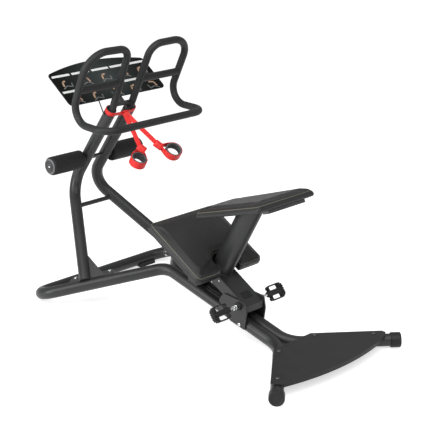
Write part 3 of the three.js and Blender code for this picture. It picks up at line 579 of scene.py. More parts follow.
def baseLine():
    size = tubeSize
    height = size["footHeight"]
    start = onSide(1, *size["capFace"], height) + footAim(1) * (size["capGrip"] - size["capLength"])
    corners = [
        start,
        Vector((size["spineX"], size["spineStart"], height)),
        Vector((size["spineX"], *size["spineEnd"])),
        Vector(size["rearCorner"]),
        Vector((0, *size["rearCorner"][1:])),
    ]
    return bentLine(corners, size["bends"])[:-1]


def legLine(side):
    corners = [onSide(side, *legSize[key]) for key in ("top", "corner", "foot")]
    return bentLine(corners, [legSize["bend"]], 18)


def atHeight(points, height):
    for a, b in zip(points, points[1:]):
        if (a.z - height) * (b.z - height) <= 0:
            return a.lerp(b, (height - a.z) / (b.z - a.z))


def ringFrame():
    size = tubeSize
    start, end = Vector((size["spineX"], *size["spineEnd"])), Vector(size["rearCorner"])
    along = (end - start).normalized()
    up = (Vector((0, 0, 1)) - along * along.z).normalized()
    back = up.cross(along)
    origin = start + along * (Vector(legSize["foot"]) - start).dot(along)
    matrix = Matrix((along, back, up)).transposed().to_4x4()
    matrix.translation = origin
    return matrix


def makeTubes():
    half = baseLine()
    ring = tube("base_frame", half + mirror(half)[::-1], tubeSize["radius"], detail=14)
    settle(ring, None, "frame_paint", stands=["base_tube_right", "base_tube_left"])
    matrix = ringFrame()
    top = Vector(legSize["top"])
    up = (top - Vector(legSize["corner"])).normalized()
    for word, side in sides:
        leg = tube("leg_tube", legLine(1), tubeSize["radius"], detail=14)
        level = matrix @ Vector((0, 0, tubeSize["radius"] - 1))
        cut = {"plane_co": level, "plane_no": matrix.col[2].xyz, "clear_inner": True, "use_fill": True}
        edited(leg, (bpy.ops.mesh.bisect, cut))
        neckTop = legSize["neckLength"]
        radius, neck = tubeSize["radius"], legSize["neckRadius"]
        profile = [
            (0, -12), (radius - 0.6, -12), (radius - 0.2, -3), (radius - 1.2, -0.8), (radius - 3, 0.6),
            (neck, 1.2), (neck, neckTop - 1.5), (neck - 1.5, neckTop), (18.4, neckTop), (18.2, neckTop - 4),
            (0, neckTop - 4),
        ]
        socket = turned("leg_neck", profile, top, up)
        leg = joined("upright_tube_" + word, leg, socket)
        if side < 0:
            flip(leg)
        settle(leg, None, "frame_paint", stands=["upright_" + word])
    level = atHeight(legLine(1), legSize["braceHeight"])
    brace = tube("brace_tube", [onSide(-1, *level), level], legSize["braceRadius"], detail=8)
    settle(brace, None, "frame_paint", stands=["cross_brace"])
    print("frame tubes made")


# Turns a right-hand piece into its left-hand twin.
def flip(piece):
    piece.data.transform(Matrix.Scale(-1, 4, acrossX))
    piece.data.flip_normals()
    return piece


def barLine():
    corners = [Vector(corner) for corner in barSize["corners"]]
    lean = (corners[1] - corners[0]).normalized()
    corners[0] = corners[0] - lean * barSize["insert"]
    right = corners[::-1]
    left = mirror(corners)
    return bentLine(left + right, barSize["bends"] + barSize["bends"][::-1], 16)


def makeBars():
    bar = tube("grip_bar", barLine(), barSize["radius"], detail=12)
    settle(bar, None, "bar_paint", stands=["handlebar"])
    corners = [Vector(corner) for corner in barSize["corners"]]
    height = barSize["gripHeight"]
    inner = atHeight(corners[0:2], height)
    outer = atHeight(corners[2:4], height)
    for word, side in sides:
        ends = [onSide(side, *inner), onSide(side, *outer)]
        grip = tube("cross_bar_" + word, ends, barSize["radius"], detail=12)
        settle(grip, None, "bar_paint", stands=["cross_grip_" + word])
        beads = []
        for end, other in (ends, ends[::-1]):
            pair = corners[0:2] if end is ends[0] else corners[2:4]
            axis = (onSide(side, *pair[1]) - onSide(side, *pair[0])).normalized()
            beads.append(saddleBead(end, other, axis, barSize["radius"]))
        settle(joined("grip_weld_" + word, *beads), None, "bar_paint")
    print("handlebar made")


# The line where a bar runs into a tube: a bead round the bar, lying on the tube.
def saddleBead(end, other, axis, radius):
    toOther = (other - end).normalized()
    lift = axis.cross(toOther).normalized()
    rise = toOther.cross(lift).normalized()
    points = []
    for i in range(40):
        angle = 2 * math.pi * i / 40
        offset = lift * math.cos(angle) + rise * math.sin(angle) + toOther * abs(math.sin(angle))
        points.append(end + offset * radius + toOther * 0.6)
    return bead("grip_bead", points, 1.5)


# Feet, plates and bolts.
def makeFeet():
    radius, length, inner = 34, tubeSize["capLength"], tubeSize["radius"] + 0.3
    for word, side in sides:
        tip = onSide(side, *tubeSize["capFace"], tubeSize["footHeight"])
        profile = [
            (0, -3), (21.5, -3), (22.5, -2.4), (24.2, -0.5), (25.2, 0), (30.2, 0), (32.6, -1.2), (33.7, -3.2),
            (radius, -6), (radius, -length + 3), (radius - 0.8, -length + 0.8), (radius - 2, -length),
            (inner, -length), (inner, -length + tubeSize["capGrip"]), (0, -length + tubeSize["capGrip"]),
        ]
        cap = turned("tube_cap_" + word, profile, tip, footAim(side))
        settle(cap, None, "plastic", stands=["foot_cap_" + word])
        skin("rear_foot_" + word, 1.2, slot="rubber")
    print("feet made")


# A button-head screw with a hexagon socket.
def screw(name, foot, direction, radius, height, shank):
    shankRadius = screwSize["shank"]
    profile = [
        (0, -shank), (shankRadius, -shank), (shankRadius, 0), (radius, 0), (radius, height * 0.3),
        (radius * 0.93, height * 0.62), (radius * 0.75, height * 0.9), (radius * 0.55, height), (0, height),
    ]
    head = turned(name, profile, Vector(), Vector((0, 0, 1)), 32)
    settings = {"vertices": 6, "radius": radius * 0.42, "depth": height, "location": (0, 0, height)}
    socket = started("screw_socket", bpy.ops.mesh.primitive_cylinder_add, **settings)
    applied(head, "BOOLEAN", object=socket, operation="DIFFERENCE", solver="EXACT")
    bpy.data.objects.remove(socket)
    head.data.transform(aim(foot, direction))
    return smooth(head)


clearance = 0.3  # between pieces that touch
screwSize = {
    "shank": 3.9, "radius": 8.5, "height": 4, "treadTop": 67.8, "treadPlaces": [(118, 241), (316, 67)],
    "plateFace": 63.81, "platePlace": 530, "flangeReaches": (-118, 52), "flangeBack": 50,
    "flangeRadius": 9, "flangeHeight": 5, "flangeThickness": 10.6, "nutHeight": 7.6,
}


# Each plate's node, the width its edges are eased by, and its slot.
plateSkins = (
    ("ramp_cover", 1.0, "frame_paint"), ("pad_stand", 0.8, "frame_paint"), ("label_plate", 0.25, "label"),
    ("seat_post", 0.6, "frame_paint"), ("seat_bracket", 0.8, "dark_steel"), ("pad_board", 1.5, "plastic"),
    ("seat_board", 1.5, "plastic"), ("board_bracket", 0.7, "dark_steel"),
    ("board_stay_right", 0, "dark_steel"), ("board_stay_left", 0, "dark_steel"),
)


def makePlates():
    skin("tread_plate", 0.9)
    for word, _ in sides:
        skin("side_plate_" + word, 0.9, slot="frame_paint")
        skin("ring_flange_" + word, slot="frame_paint")
        skin("upright_flange_" + word, slot="frame_paint")
    for node, width, slot in plateSkins:
        skin(node, width, boardPlastic if node in ("pad_board", "seat_board") else None, slot)
    print("plates eased")


def makeScrews():
    size = screwSize
    radius, height, out = size["radius"], size["height"], Vector((0, 0, 1))
    places = [(-x, y) for x, y in size["treadPlaces"]] + size["treadPlaces"]
    for i, (x, y) in enumerate(places):
        foot = Vector((x, y, size["treadTop"] + clearance))
        head = screw(f"tread_screw_{i + 1}", foot, out, radius, height, 20)
        settle(head, dullMetal, "bright_metal", stands=[f"tread_bolt_{i + 1}"])
    start, (endY, endZ) = tubeSize["spineStart"], tubeSize["spineEnd"]
    along = size["platePlace"]
    level = tubeSize["footHeight"] + (along - start) * (endZ - tubeSize["footHeight"]) / (endY - start)
    matrix = ringFrame()
    up = matrix.col[2].xyz
    for word, side in sides:
        foot = onSide(side, size["plateFace"] + clearance, along, level)
        head = screw("plate_screw_" + word, foot, acrossX * side, radius, height, 24)
        settle(head, None, "bright_metal", stands=["side_bolt_" + word])
        for i, reach in enumerate(size["flangeReaches"]):
            foot = matrix @ Vector((reach, size["flangeBack"], tubeSize["radius"] + clearance))
            head = screw("flange_screw", foot, up, size["flangeRadius"], size["flangeHeight"], 22)
            nutMiddle = aim(foot - up * (clearance + size["flangeThickness"] + 4), up)
            settings = {"vertices": 6, "radius": size["flangeRadius"], "depth": size["nutHeight"]}
            nut = started("flange_nut", bpy.ops.mesh.primitive_cylinder_add, **settings)
            eased(nut, 0.7, 40)
            nut.data.transform(nutMiddle)
            smooth(nut)
            piece = joined(f"flange_screw_{i + 1}_{word}", head, nut)
            if side < 0:
                flip(piece)
            settle(piece, None, "bright_metal", stands=[f"flange_bolt_{i + 1}_{word}"])
    print("screws made")


# Pedals.
pedalSize = {
    "axis": (535, 172), "inner": 132.5, "width": 95, "depth": 70,
    "hubStart": screwSize["plateFace"] + clearance, "hub": 11,
    "thickness": 20, "pitch": math.radians(-54), "toothPitch": 11.5,
    "windows": [(11, 70, 12.6, 30.5), (75, 89, 6, 21), (-8, 6, 14, 22)],
}


def makePedals():
    size = pedalSize
    for word, side in sides:
        outward = acrossX * side
        hub = onSide(side, size["hubStart"], *size["axis"])
        profile = [
            (0, 0), (19, 0), (19, 6.5), (18.6, 8.2), (17.4, 9.8), (15.5, 10.8), (13, 11), (12.2, 10.2),
            (0, 10.2),
        ]
        boss = turned("crank_hub_" + word, profile, hub, outward)
        settle(boss, None, "plastic", stands=["pedal_hub_" + word])
        start = size["hubStart"] + size["hub"] + clearance
        reach = size["inner"] + size["width"] - 6 - start
        profile = [
            (0, 0), (9.4, 0), (9.4, 3), (11, 3.8), (11, 9.6), (9.2, 10.6), (9.2, 13.2), (10.6, 14.2),
            (10.6, 21.6), (9.6, 23), (7, 24), (7, reach), (0, reach),
        ]
        spindle = turned("pedal_spindle_" + word, profile, onSide(side, start, *size["axis"]), outward)
        settle(spindle, None, "bright_metal", stands=["pedal_axle_" + word])
        makePedal(word, side)
    print("pedals made")


# A toothed cage with long windows, smaller ones outside and notches inside, and a barrel for the spindle.
def makePedal(word, side):
    size = pedalSize
    half, width = size["depth"] / 2, size["width"]
    corners = [(1, -28), (8, -half), (width - 15, -half), (width, -half + 12), (width, half - 12)]
    corners += [(width - 15, half), (8, half), (1, 28)]
    loop = spaced([Vector((x, y, 0)) for x, y in rounded(corners, 8)], 1.3)
    outline, walked = [], 0.0
    for i, point in enumerate(loop):
        run = (loop[(i + 1) % len(loop)] - loop[i - 1]).normalized()
        walked += (point - loop[i - 1]).length if i else 0
        tooth = min(max(math.sin(2 * math.pi * walked / size["toothPitch"]) * 2.2, -1), 1)
        keep = 1 if point.x > 14 else 0
        outline.append((point.x + run.y * tooth * 1.7 * keep, point.y - run.x * tooth * 1.7 * keep))
    thick = size["thickness"] / 2
    cage = slab("pedal_cage", outline, -thick, thick)
    for low, high, near, far in size["windows"]:
        for flipped in (-1, 1):
            box = [(low, near * flipped), (high, near * flipped), (high, far * flipped), (low, far * flipped)]
            hole = slab("pedal_window", rounded(box, min(5, 0.45 * (far - near))), -20, 20)
            applied(cage, "BOOLEAN", object=hole, operation="DIFFERENCE", solver="EXACT")
            bpy.data.objects.remove(hole)
    edited(cage, (bpy.ops.mesh.remove_doubles, {"threshold": 0.01}), outwards)
    eased(cage, 0.9, 60)
    weighted(cage, 40)
    profile = [
        (8, -10), (11.4, -10), (12.2, -9), (12.2, 4), (10.6, 8), (9.6, 30), (10.2, 60), (11, width - 12),
        (11.4, width - 3), (10.6, width - 1.4), (8.8, width - 0.4), (8, width - 2), (0, width - 2),
        (0, width - 5), (8, width - 5),
    ]
    barrel = turned("pedal_barrel", profile, Vector(), acrossX, 36)
    pedal = joined("pedal_block_" + word, cage, barrel)
    forward = Vector((0, math.cos(size["pitch"]), -math.sin(size["pitch"]))) * side
    outward = acrossX * side
    matrix = Matrix((outward, forward, outward.cross(forward))).transposed().to_4x4()
    matrix.translation = onSide(side, size["inner"], *size["axis"])
    pedal.data.transform(matrix)
    settle(pedal, None, "plastic", "pedal_" + word, ["pedal_" + word])


# Rollers.
rollerSize = {"height": 647, "inner": 91, "outer": 283, "radius": 45.5, "sleeve": 17, "axle": 10}


def makeRollers():
    size = rollerSize
    spot = atHeight(legLine(1), size["height"])
    length = size["outer"] - size["inner"]
    settle(
        tube("roller_bar", [Vector((-277, spot.y, spot.z)), Vector((277, spot.y, spot.z))], size["axle"]),
        None, "dark_steel", stands=["roller_axle"],
    )
    for word, side in sides:
        foot, outward = onSide(side, size["inner"], spot.y, spot.z), acrossX * side
        body = "roller_" + word
        long = length - 4.3
        sleeve, radius = size["sleeve"] + 0.3, size["radius"]
        profile = [
            (sleeve, 0), (radius - 9, 0), (radius - 4, 1.2), (radius - 1.3, 4), (radius - 0.2, 8),
            (radius, 14), (radius + 0.1, long * 0.5),
        ]
        profile += [(out, long - level) for out, level in profile[-2::-1]]
        foam = turned("foam_roll_" + word, profile, foot, outward, 64)
        swelled(foam, lambda co, normal: noise.noise(co * 0.02) * 0.5)
        settle(foam, None, "foam", body, ["roller_foam_" + word])
        bore = size["axle"] + 0.4
        profile = [
            (bore, 0), (size["sleeve"], 0), (size["sleeve"], length - 4), (38, length - 4),
            (38.4, length - 2), (37.6, length), (36, length + 1), (32.5, length + 1),
            (31.4, length + 0.2), (31, length - 2.6),
            (0, length - 2.6), (0, length - 5), (bore, length - 5),
        ]
        disc = turned("roller_disc_" + word, profile, foot, outward, 56)
        settle(disc, greyPlastic, "plastic", body, ["roller_sleeve_" + word])
        face = foot + outward * (length - 2.4)
        profile = [
            (0, 0), (30, 0), (30, 0.8), (21, 1.2), (19.6, 4.4), (18, 5.6), (9, 6), (8, 5.2), (7.6, 2.6),
            (0, 2.6),
        ]
        settle(turned("roller_hub_" + word, profile, face, outward, 48), hubPlastic, "plastic", body)
        profile = [(0, 0), (5.4, 0), (5.4, 2.2), (4.4, 3), (0, 3)]
        knob = turned("roller_screw_" + word, profile, face + outward * 2.6, outward, 24)
        settle(knob, None, "bright_metal", body)
    print("rollers made")


# Cushions.
padSize = {
    "front": (645, 305), "slope": math.radians(29.7), "length": 368, "half": 200, "corner": 20, "notch": 66,
    "notchStraight": 46, "voxel": 0.005, "limit": 0.0055,
    "heldBelow": -22,
    "levels": [  # inset and level: the board's recess, the wrap round its edge, the sides and the crown
        (3.4, -26.1), (3.4, -37.4), (0, -37.8), (-3.6, -37), (-6.4, -33.5), (-7, -26), (-6.4, -12),
        (-4.2, -1.6),
        (0.4, 0.6), (1.2, 4.9), (3.4, 8.7), (6.9, 11.5), (11.1, 12.9), (14, 13.2),
    ],
}
seatSize = {
    "front": (321, 710), "slope": math.radians(-18.15), "length": 446, "half": (173, 118), "corner": 16,
    "voxel": 0.0045, "limit": 0.0055,
    "heldBelow": -12,
    "levels": [
        (4.4, -15.1), (4.4, -26.5), (0.6, -26.8), (-3.6, -26), (-6.8, -22.6), (-7.6, -15.5), (-7, -7),
        (-4.4, -1.2),
        (0.4, 0.6), (1.2, 5.3), (3.6, 9.4), (7.2, 12.4), (11.6, 13.9), (14.5, 14.2),
    ],
}


def padOutline(inset):
    size = padSize
    half, notch, length = size["half"] - inset, size["notch"] + inset, size["length"] - inset
    corners = [(notch, inset), (half, inset), (half, length)]
    corners += [(-x, y) for x, y in corners[::-1]]
    corner = size["corner"]
    outline = rounded(corners, [12, corner, corner, corner, corner, 12])
    for i in range(25):
        angle = math.pi - math.pi * i / 24
        outline.append((notch * math.cos(angle), size["notchStraight"] + notch * math.sin(angle)))
    return outline


def seatOutline(inset):
    front, rear = (half - inset for half in seatSize["half"])
    length = seatSize["length"] - inset
    return rounded([(-front, inset), (front, inset), (rear, length), (-rear, length)], seatSize["corner"])


# A closed form from outlines at rising levels, in metres in the frame.
def stacked(name, outline, levels, matrix):
    mesh = bpy.data.meshes.new(name)
    shape = bmesh.new()
    loops = [[shape.verts.new((x, y, level)) for x, y in outline(inset)] for inset, level in levels]
    for low, high in zip(loops, loops[1:]):
        for i in range(len(low)):
            k = (i + 1) % len(low)
            shape.faces.new((low[i], low[k], high[k], high[i]))
    shape.faces.new(loops[0][::-1])
    shape.faces.new(loops[-1])
    shape.to_mesh(mesh)
    shape.free()
    mesh.transform(toMetres @ matrix)
    return made(name, mesh)


def puffed(piece, size, back):
    applied(piece, "REMESH", mode="VOXEL", voxel_size=size["voxel"])
    applied(piece, "SMOOTH", factor=0.5, iterations=4)
    start = [vertex.co.copy() for vertex in piece.data.vertices]
    held = piece.vertex_groups.new(name="held")
    held.add([i for i, co in enumerate(start) if (back @ co).z < size["heldBelow"]], 1.0, "REPLACE")
    cloth = piece.modifiers.new("cloth", "CLOTH")
    cloth.settings.use_pressure = True
    cloth.settings.uniform_pressure_force = 4
    cloth.settings.effector_weights.gravity = 0
    cloth.settings.vertex_group_mass = "held"
    cloth.settings.quality = 5
    cloth.point_cache.frame_start = 1
    cloth.point_cache.frame_end = 20
    scene = bpy.context.scene
    for step in range(1, 21):
        scene.frame_set(step)
    loose = piece.evaluated_get(bpy.context.evaluated_depsgraph_get()).to_mesh()
    moved = [vertex.co.copy() for vertex in loose.vertices]
    piece.evaluated_get(bpy.context.evaluated_depsgraph_get()).to_mesh_clear()
    piece.modifiers.remove(cloth)
    piece.vertex_groups.clear()
    scene.frame_set(1)
    for vertex, old, new in zip(piece.data.vertices, start, moved):
        step = new - old
        limit = size["limit"] * min(1, 0.2 + abs((back @ old).z) / 12)  # the seam holds its line
        if step.length > limit:
            step = step.normalized() * limit
        vertex.co = old + step


def makeCushion(name, outline, size, node):
    matrix = slope(size["front"], size["slope"])
    back = (toMetres @ matrix).inverted()
    piece = stacked(name, outline, size["levels"], matrix)
    puffed(piece, size, back)
    applied(piece, "SUBSURF", levels=1, render_levels=1)
    applied(piece, "SMOOTH", factor=0.5, iterations=2)
    out = toMetres @ matrix
    turnBack = back.to_3x3()

    def drawnIn(co, normal):  # the seam draws the leather in
        side = 1 - abs((turnBack @ normal).normalized().z)
        return -1.4 * mm * side * math.exp(-(((back @ co).z - 0.2) / 2.2) ** 2)

    swelled(piece, drawnIn)
    smooth(piece, 60)
    settle(piece, None, "upholstery", stands=[node], matrix=None)
    tree = BVHTree.FromObject(piece, bpy.context.evaluated_depsgraph_get())
    seam = []
    loop = spaced([Vector((x, y, 0)) for x, y in outline(0)], 3.5)
    for i, point in enumerate(loop):
        run = (loop[(i + 1) % len(loop)] - loop[i - 1]).normalized()
        outward = Vector((run.y, -run.x, 0))
        start = out @ (point + outward * 26)
        hit = tree.ray_cast(start, (out.to_3x3() @ -outward).normalized(), 0.05)[0]
        spot = back @ hit if hit else point
        seam.append(Vector((spot.x, spot.y, 0)) + outward * 0.7)
    cord = tube(name + "_piping", [matrix @ p for p in seam], 1.25, True, 3)
    # The cord wears the piping's painted reflection, a pale brownish sheen.
    settle(cord, pipingSheenFinish, "upholstery")
    makeStitches(name, outline, tree, out)


def makeStitches(name, outline, tree, out):
    loop = spaced([Vector((x, y, 0)) for x, y in outline(9)], 4.6)
    down = (out.to_3x3() @ Vector((0, 0, -1))).normalized()
    base = stitchMesh()
    parts = bmesh.new()
    for i, point in enumerate(loop):
        run = (loop[(i + 1) % len(loop)] - loop[i - 1]).normalized()
        hit, normal, _, _ = tree.ray_cast(out @ (point + Vector((0, 0, 40))), down, 0.08)
        if not hit:
            continue
        along = (out.to_3x3() @ run).normalized()
        side = normal.cross(along).normalized()
        turn = Matrix((along, side, normal)).transposed().to_4x4()
        turn.translation = hit
        copy = base.copy()
        copy.transform(turn @ Matrix.Scale(mm, 4))
        parts.from_mesh(copy)
        bpy.data.meshes.remove(copy)
    mesh = bpy.data.meshes.new(name + "_stitches")
    parts.to_mesh(mesh)
    parts.free()
    bpy.data.meshes.remove(base)
    thread = made(name + "_stitches", mesh)
    smooth(thread, 60)
    settle(thread, threadFinish, "upholstery", matrix=None)


# One stitch: a short rounded thread that dips into the leather at both ends.
def stitchMesh():
    ball = started("stitch", bpy.ops.mesh.primitive_uv_sphere_add, segments=8, ring_count=5, radius=1)
    mesh = ball.data.copy()
    bpy.data.objects.remove(ball)
    for vertex in mesh.vertices:
        x, y, z = vertex.co
        vertex.co = (x * 1.65, y * 0.32, z * 0.34 - 0.28 * x * x + 0.1)
    return mesh


def spaced(points, step):
    points = [p for p, q in zip(points, points[1:] + points[:1]) if (q - p).length > 1e-4]
    points.append(points[0])
    lengths = [(b - a).length for a, b in zip(points, points[1:])]
    count = round(sum(lengths) / step)
    places, walked, i = [], 0.0, 0
    for k in range(count):
        goal = sum(lengths) * k / count
        while walked + lengths[i] < goal:
            walked += lengths[i]
            i += 1
        places.append(points[i].lerp(points[i + 1], (goal - walked) / lengths[i]))
    return places


# Chart board.
boardSize = {
    "low": (1389, 979), "high": (1556, 1100), "half": 295, "corner": 22, "arch": 42, "sheet": 4,
    "columns": (-232, -116, 4, 118, 232), "barRows": (185, 84), "markRows": (128, 28),
    "barLength": 104, "barHeight": 13,
}


def boardOutline(inset):
    size = boardSize
    height = math.hypot(size["high"][0] - size["low"][0], size["high"][1] - size["low"][1])
    half = size["half"] - inset
    corners = [(-half, inset), (half, inset), (half, height - inset)]
    for i in range(1, 24):
        share = 1 - 2 * i / 24
        corners.append((half * share, height + size["arch"] * (1 - share ** 2) - inset))
    corners.append((-half, height - inset))
    radii = [size["corner"] if abs(x) == half else 0 for x, _ in corners]
    return rounded(corners, radii)


def stroke(points, width, low, high, matrix):
    half = width / 2
    parts = []
    for a, b in zip(points, points[1:]):
        a, b = Vector(a), Vector(b)
        run = (b - a).normalized()
        side = Vector((-run.y, run.x))
        turn = math.atan2(side.y, side.x)
        outline = []
        for centre, first in ((a, turn), (b, turn + math.pi)):
            for k in range(7):
                angle = first + math.pi * k / 6
                outline.append((centre.x + half * math.cos(angle), centre.y + half * math.sin(angle)))
        parts.append(slab("mark_part", outline, low, high, matrix))
    return parts


# Plain marks in place of the chart's pictures: a grey bench and a warm bent line, different in each place.
def makeMarks(matrix):
    bars, benches, bends = [], [], []
    size = boardSize
    for row, (barY, markY) in enumerate(zip(size["barRows"], size["markRows"])):
        for column, x in enumerate(size["columns"]):
            long, high = size["barLength"] / 2, size["barHeight"] / 2
            corners = [(x - long, barY - high), (x + long, barY - high)]
            corners += [(x + long, barY + high), (x - long, barY + high)]
            bars.append(slab("heading_part", rounded(corners, 3, 3), 0.45, 0.7, matrix))
            way = 1 if (row + column) % 2 == 0 else -1
            bench = [(-28, -22), (-4, -8), (26, -18), (30, 4)]
            bench = [(x + across * way, markY + up) for across, up in bench]
            benches += stroke(bench, 6, 0.45, 0.7, matrix)
            reach = 6 * column - 12
            bend = [(-20, -6), (-14, 18), (4 + reach * 0.4, 22)]
            bend = [(x + across * way, markY + up) for across, up in bend]
            bends += stroke(bend, 9, 0.72, 0.95, matrix)
    settle(joined("heading_bars", *bars), barInk, "board_print")
    settle(joined("bench_marks", *benches), greyInk, "board_print")
    settle(joined("bend_marks", *bends), warmInk, "board_print")


def makeBoard():
    size = boardSize
    rise = math.atan2(size["high"][1] - size["low"][1], size["high"][0] - size["low"][0])
    matrix = slope(size["low"], rise)
    sheet = slab("chart_sheet", boardOutline(0), -size["sheet"], 0, matrix, 0.6)
    settle(sheet, boardPlastic, "plastic", stands=["chart_board"])
    film = slab("chart_print", boardOutline(2.5), 0.1, 0.42, matrix)
    glow = toMetres @ matrix @ Vector((0, 120, 0))
    settle(film, makePrint("chartPrint", glow), "board_print")
    makeMarks(matrix)
    print("chart board made")


# Straps and cuffs.
strapSize = {
    "width": 22, "thickness": 2.6, "bandWidth": 22, "bandInside": 25.1, "bandLevel": 13, "rollLength": 42,
    "rollInner": 4, "rollTurns": 4.6, "rollPitch": 3.15,
    "cuffRadius": 41.5, "cuffWidth": 42, "padThickness": 7,
    "tipAngle": 62, "facing": (-0.64, -0.72, 0.27),
}
strapRoutes = {
    "left": [
        (0, 1364, 907), (0, 1354, 901), (3, 1353, 892), (6, 1351, 882), (9, 1348, 872), (12, 1345, 862),
        (16, 1341, 852), (19, 1338, 842), (22, 1335, 831), (26, 1332, 820), (29, 1329, 809), (32, 1326, 798),
        (36, 1322, 786), (39, 1319, 775), (42, 1316, 764), (46, 1312, 753), (46, 1310, 744), (54, 1303, 727),
    ],
    "right": [
        (10, 1364, 904), (14, 1352, 898), (17, 1346, 889), (20, 1339, 879), (26, 1332, 870), (33, 1325, 860),
        (39, 1319, 851), (45, 1313, 842), (52, 1306, 832), (59, 1299, 822), (66, 1292, 811), (74, 1284, 801),
        (81, 1277, 791), (88, 1270, 780), (95, 1263, 770), (101, 1257, 762), (106, 1252, 752),
        (112, 1246, 744),
    ],
}
cuffPlaces = {
    "left": {"centre": (34, 1305, 670), "axis": (0, -0.51, 0.86), "roll": (54, 1303, 727)},
    "right": {"centre": (162, 1196, 713), "axis": (-0.17, -0.63, 0.75), "roll": (112, 1246, 744)},
}


# Flat webbing along a line. Its UV map holds metres along and across.
def ribbon(name, line, wide, width, thickness, closed=False, edge=0.8, shares=None):
    half, thin = width / 2, thickness / 2
    section = [(-(half - edge), -thin), (-half * 0.35, -thin), (half * 0.35, -thin), (half - edge, -thin)]
    section += [(half, -thin * 0.35), (half, thin * 0.35)]
    section += [(half - edge, thin), (half * 0.35, thin), (-half * 0.35, thin), (-(half - edge), thin)]
    section += [(-half, thin * 0.35), (-half, -thin * 0.35)]
    mesh = bpy.data.meshes.new(name)
    shape = bmesh.new()
    weave = shape.loops.layers.uv.new("weave")
    rings, walked, lengths = [], 0.0, []
    count = len(line)
    for i, point in enumerate(line):
        before = line[i - 1] if closed or i else line[0]
        after = line[(i + 1) % count] if closed or i < count - 1 else line[-1]
        run = (after - before).normalized()
        across = (wide[i] - run * wide[i].dot(run)).normalized()
        out = run.cross(across)
        share = shares[i] if shares else 1
        rings.append([shape.verts.new(point + across * a * share + out * b) for a, b in section])
        walked += (point - line[i - 1]).length if i else 0
        lengths.append(walked)
    lengths.append(walked + (line[0] - line[-1]).length)
    for i in range(count if closed else count - 1):
        k = (i + 1) % count
        for j in range(len(section)):
            m = (j + 1) % len(section)
            face = shape.faces.new((rings[i][j], rings[k][j], rings[k][m], rings[i][m]))
            spots = ((lengths[i], j), (lengths[i + 1], j), (lengths[i + 1], m), (lengths[i], m))
            for loop, (along, which) in zip(face.loops, spots):
                loop[weave].uv = (along * mm, section[which][0] * mm)
    if not closed:
        shape.faces.new(rings[0])
        shape.faces.new(rings[-1][::-1])
    bmesh.ops.recalc_face_normals(shape, faces=shape.faces)
    shape.to_mesh(mesh)
    shape.free()
    return smooth(made(name, mesh), 50)


def easedLine(points, passes=4):
    for _ in range(passes):
        points = [points[0]] + [
            (a + b * 2 + c) / 4 for a, b, c in zip(points, points[1:], points[2:])
        ] + [points[-1]]
    return points


def denser(points, times=3):
    fine = []
    for i in range(len(points) - 1):
        a, b, c, d = (points[min(max(i + k, 0), len(points) - 1)] for k in (-1, 0, 1, 2))
        for k in range(times):
            t = k / times
            squared = (2 * a - 5 * b + 4 * c - d) * t * t
            cubed = (3 * b - a - 3 * c + d) * t ** 3
            fine.append(0.5 * (2 * b + (c - a) * t + squared + cubed))
    return fine + [points[-1]]


def makeStraps():
    size = strapSize
    top = Vector((0, *legSize["top"][1:]))
    up = (Vector(legSize["top"]) - Vector(legSize["corner"])).normalized()
    across = up.cross(acrossX)
    radius = size["bandInside"] + 1.5
    ends = legSize["top"][0]
    loop = []
    for centre, first in ((ends, -90), (-ends, 90)):
        for i in range(17):
            angle = math.radians(first + 180 * i / 16)
            loop.append(acrossX * (centre + radius * math.cos(angle)) + across * radius * math.sin(angle))
        if centre > 0:
            loop += [acrossX * (ends * (1 - k / 4)) + across * radius for k in range(1, 8)]
        else:
            loop += [acrossX * (-ends * (1 - k / 4)) - across * radius for k in range(1, 8)]
    middle = top + up * size["bandLevel"]
    line = []
    for i, p in enumerate(loop):
        sag = 1.2 * math.sin(i * 1.7) + noise.noise(p * 0.03) * 1.5
        line.append(middle + p + up * sag * 0.5)
    band = ribbon("neck_band", line, [up] * len(line), size["bandWidth"], 3, True)
    settle(band, None, "webbing", stands=["strap_band"])
    front = middle - across * radius
    knot = []
    for i in range(20):
        angle = 2 * math.pi * i / 20
        knot.append(
            front + acrossX * 5
            + across * 4.2 * math.copysign(abs(math.cos(angle)) ** 0.6, math.cos(angle))
            + up * 13.2 * math.copysign(abs(math.sin(angle)) ** 0.6, math.sin(angle))
        )
    wrap = ribbon("band_wrap", knot, [acrossX] * 20, 24, 2.6, True)
    settle(wrap, None, "webbing")
    for word in ("left", "right"):
        makeStrap(word)
    print("straps made")


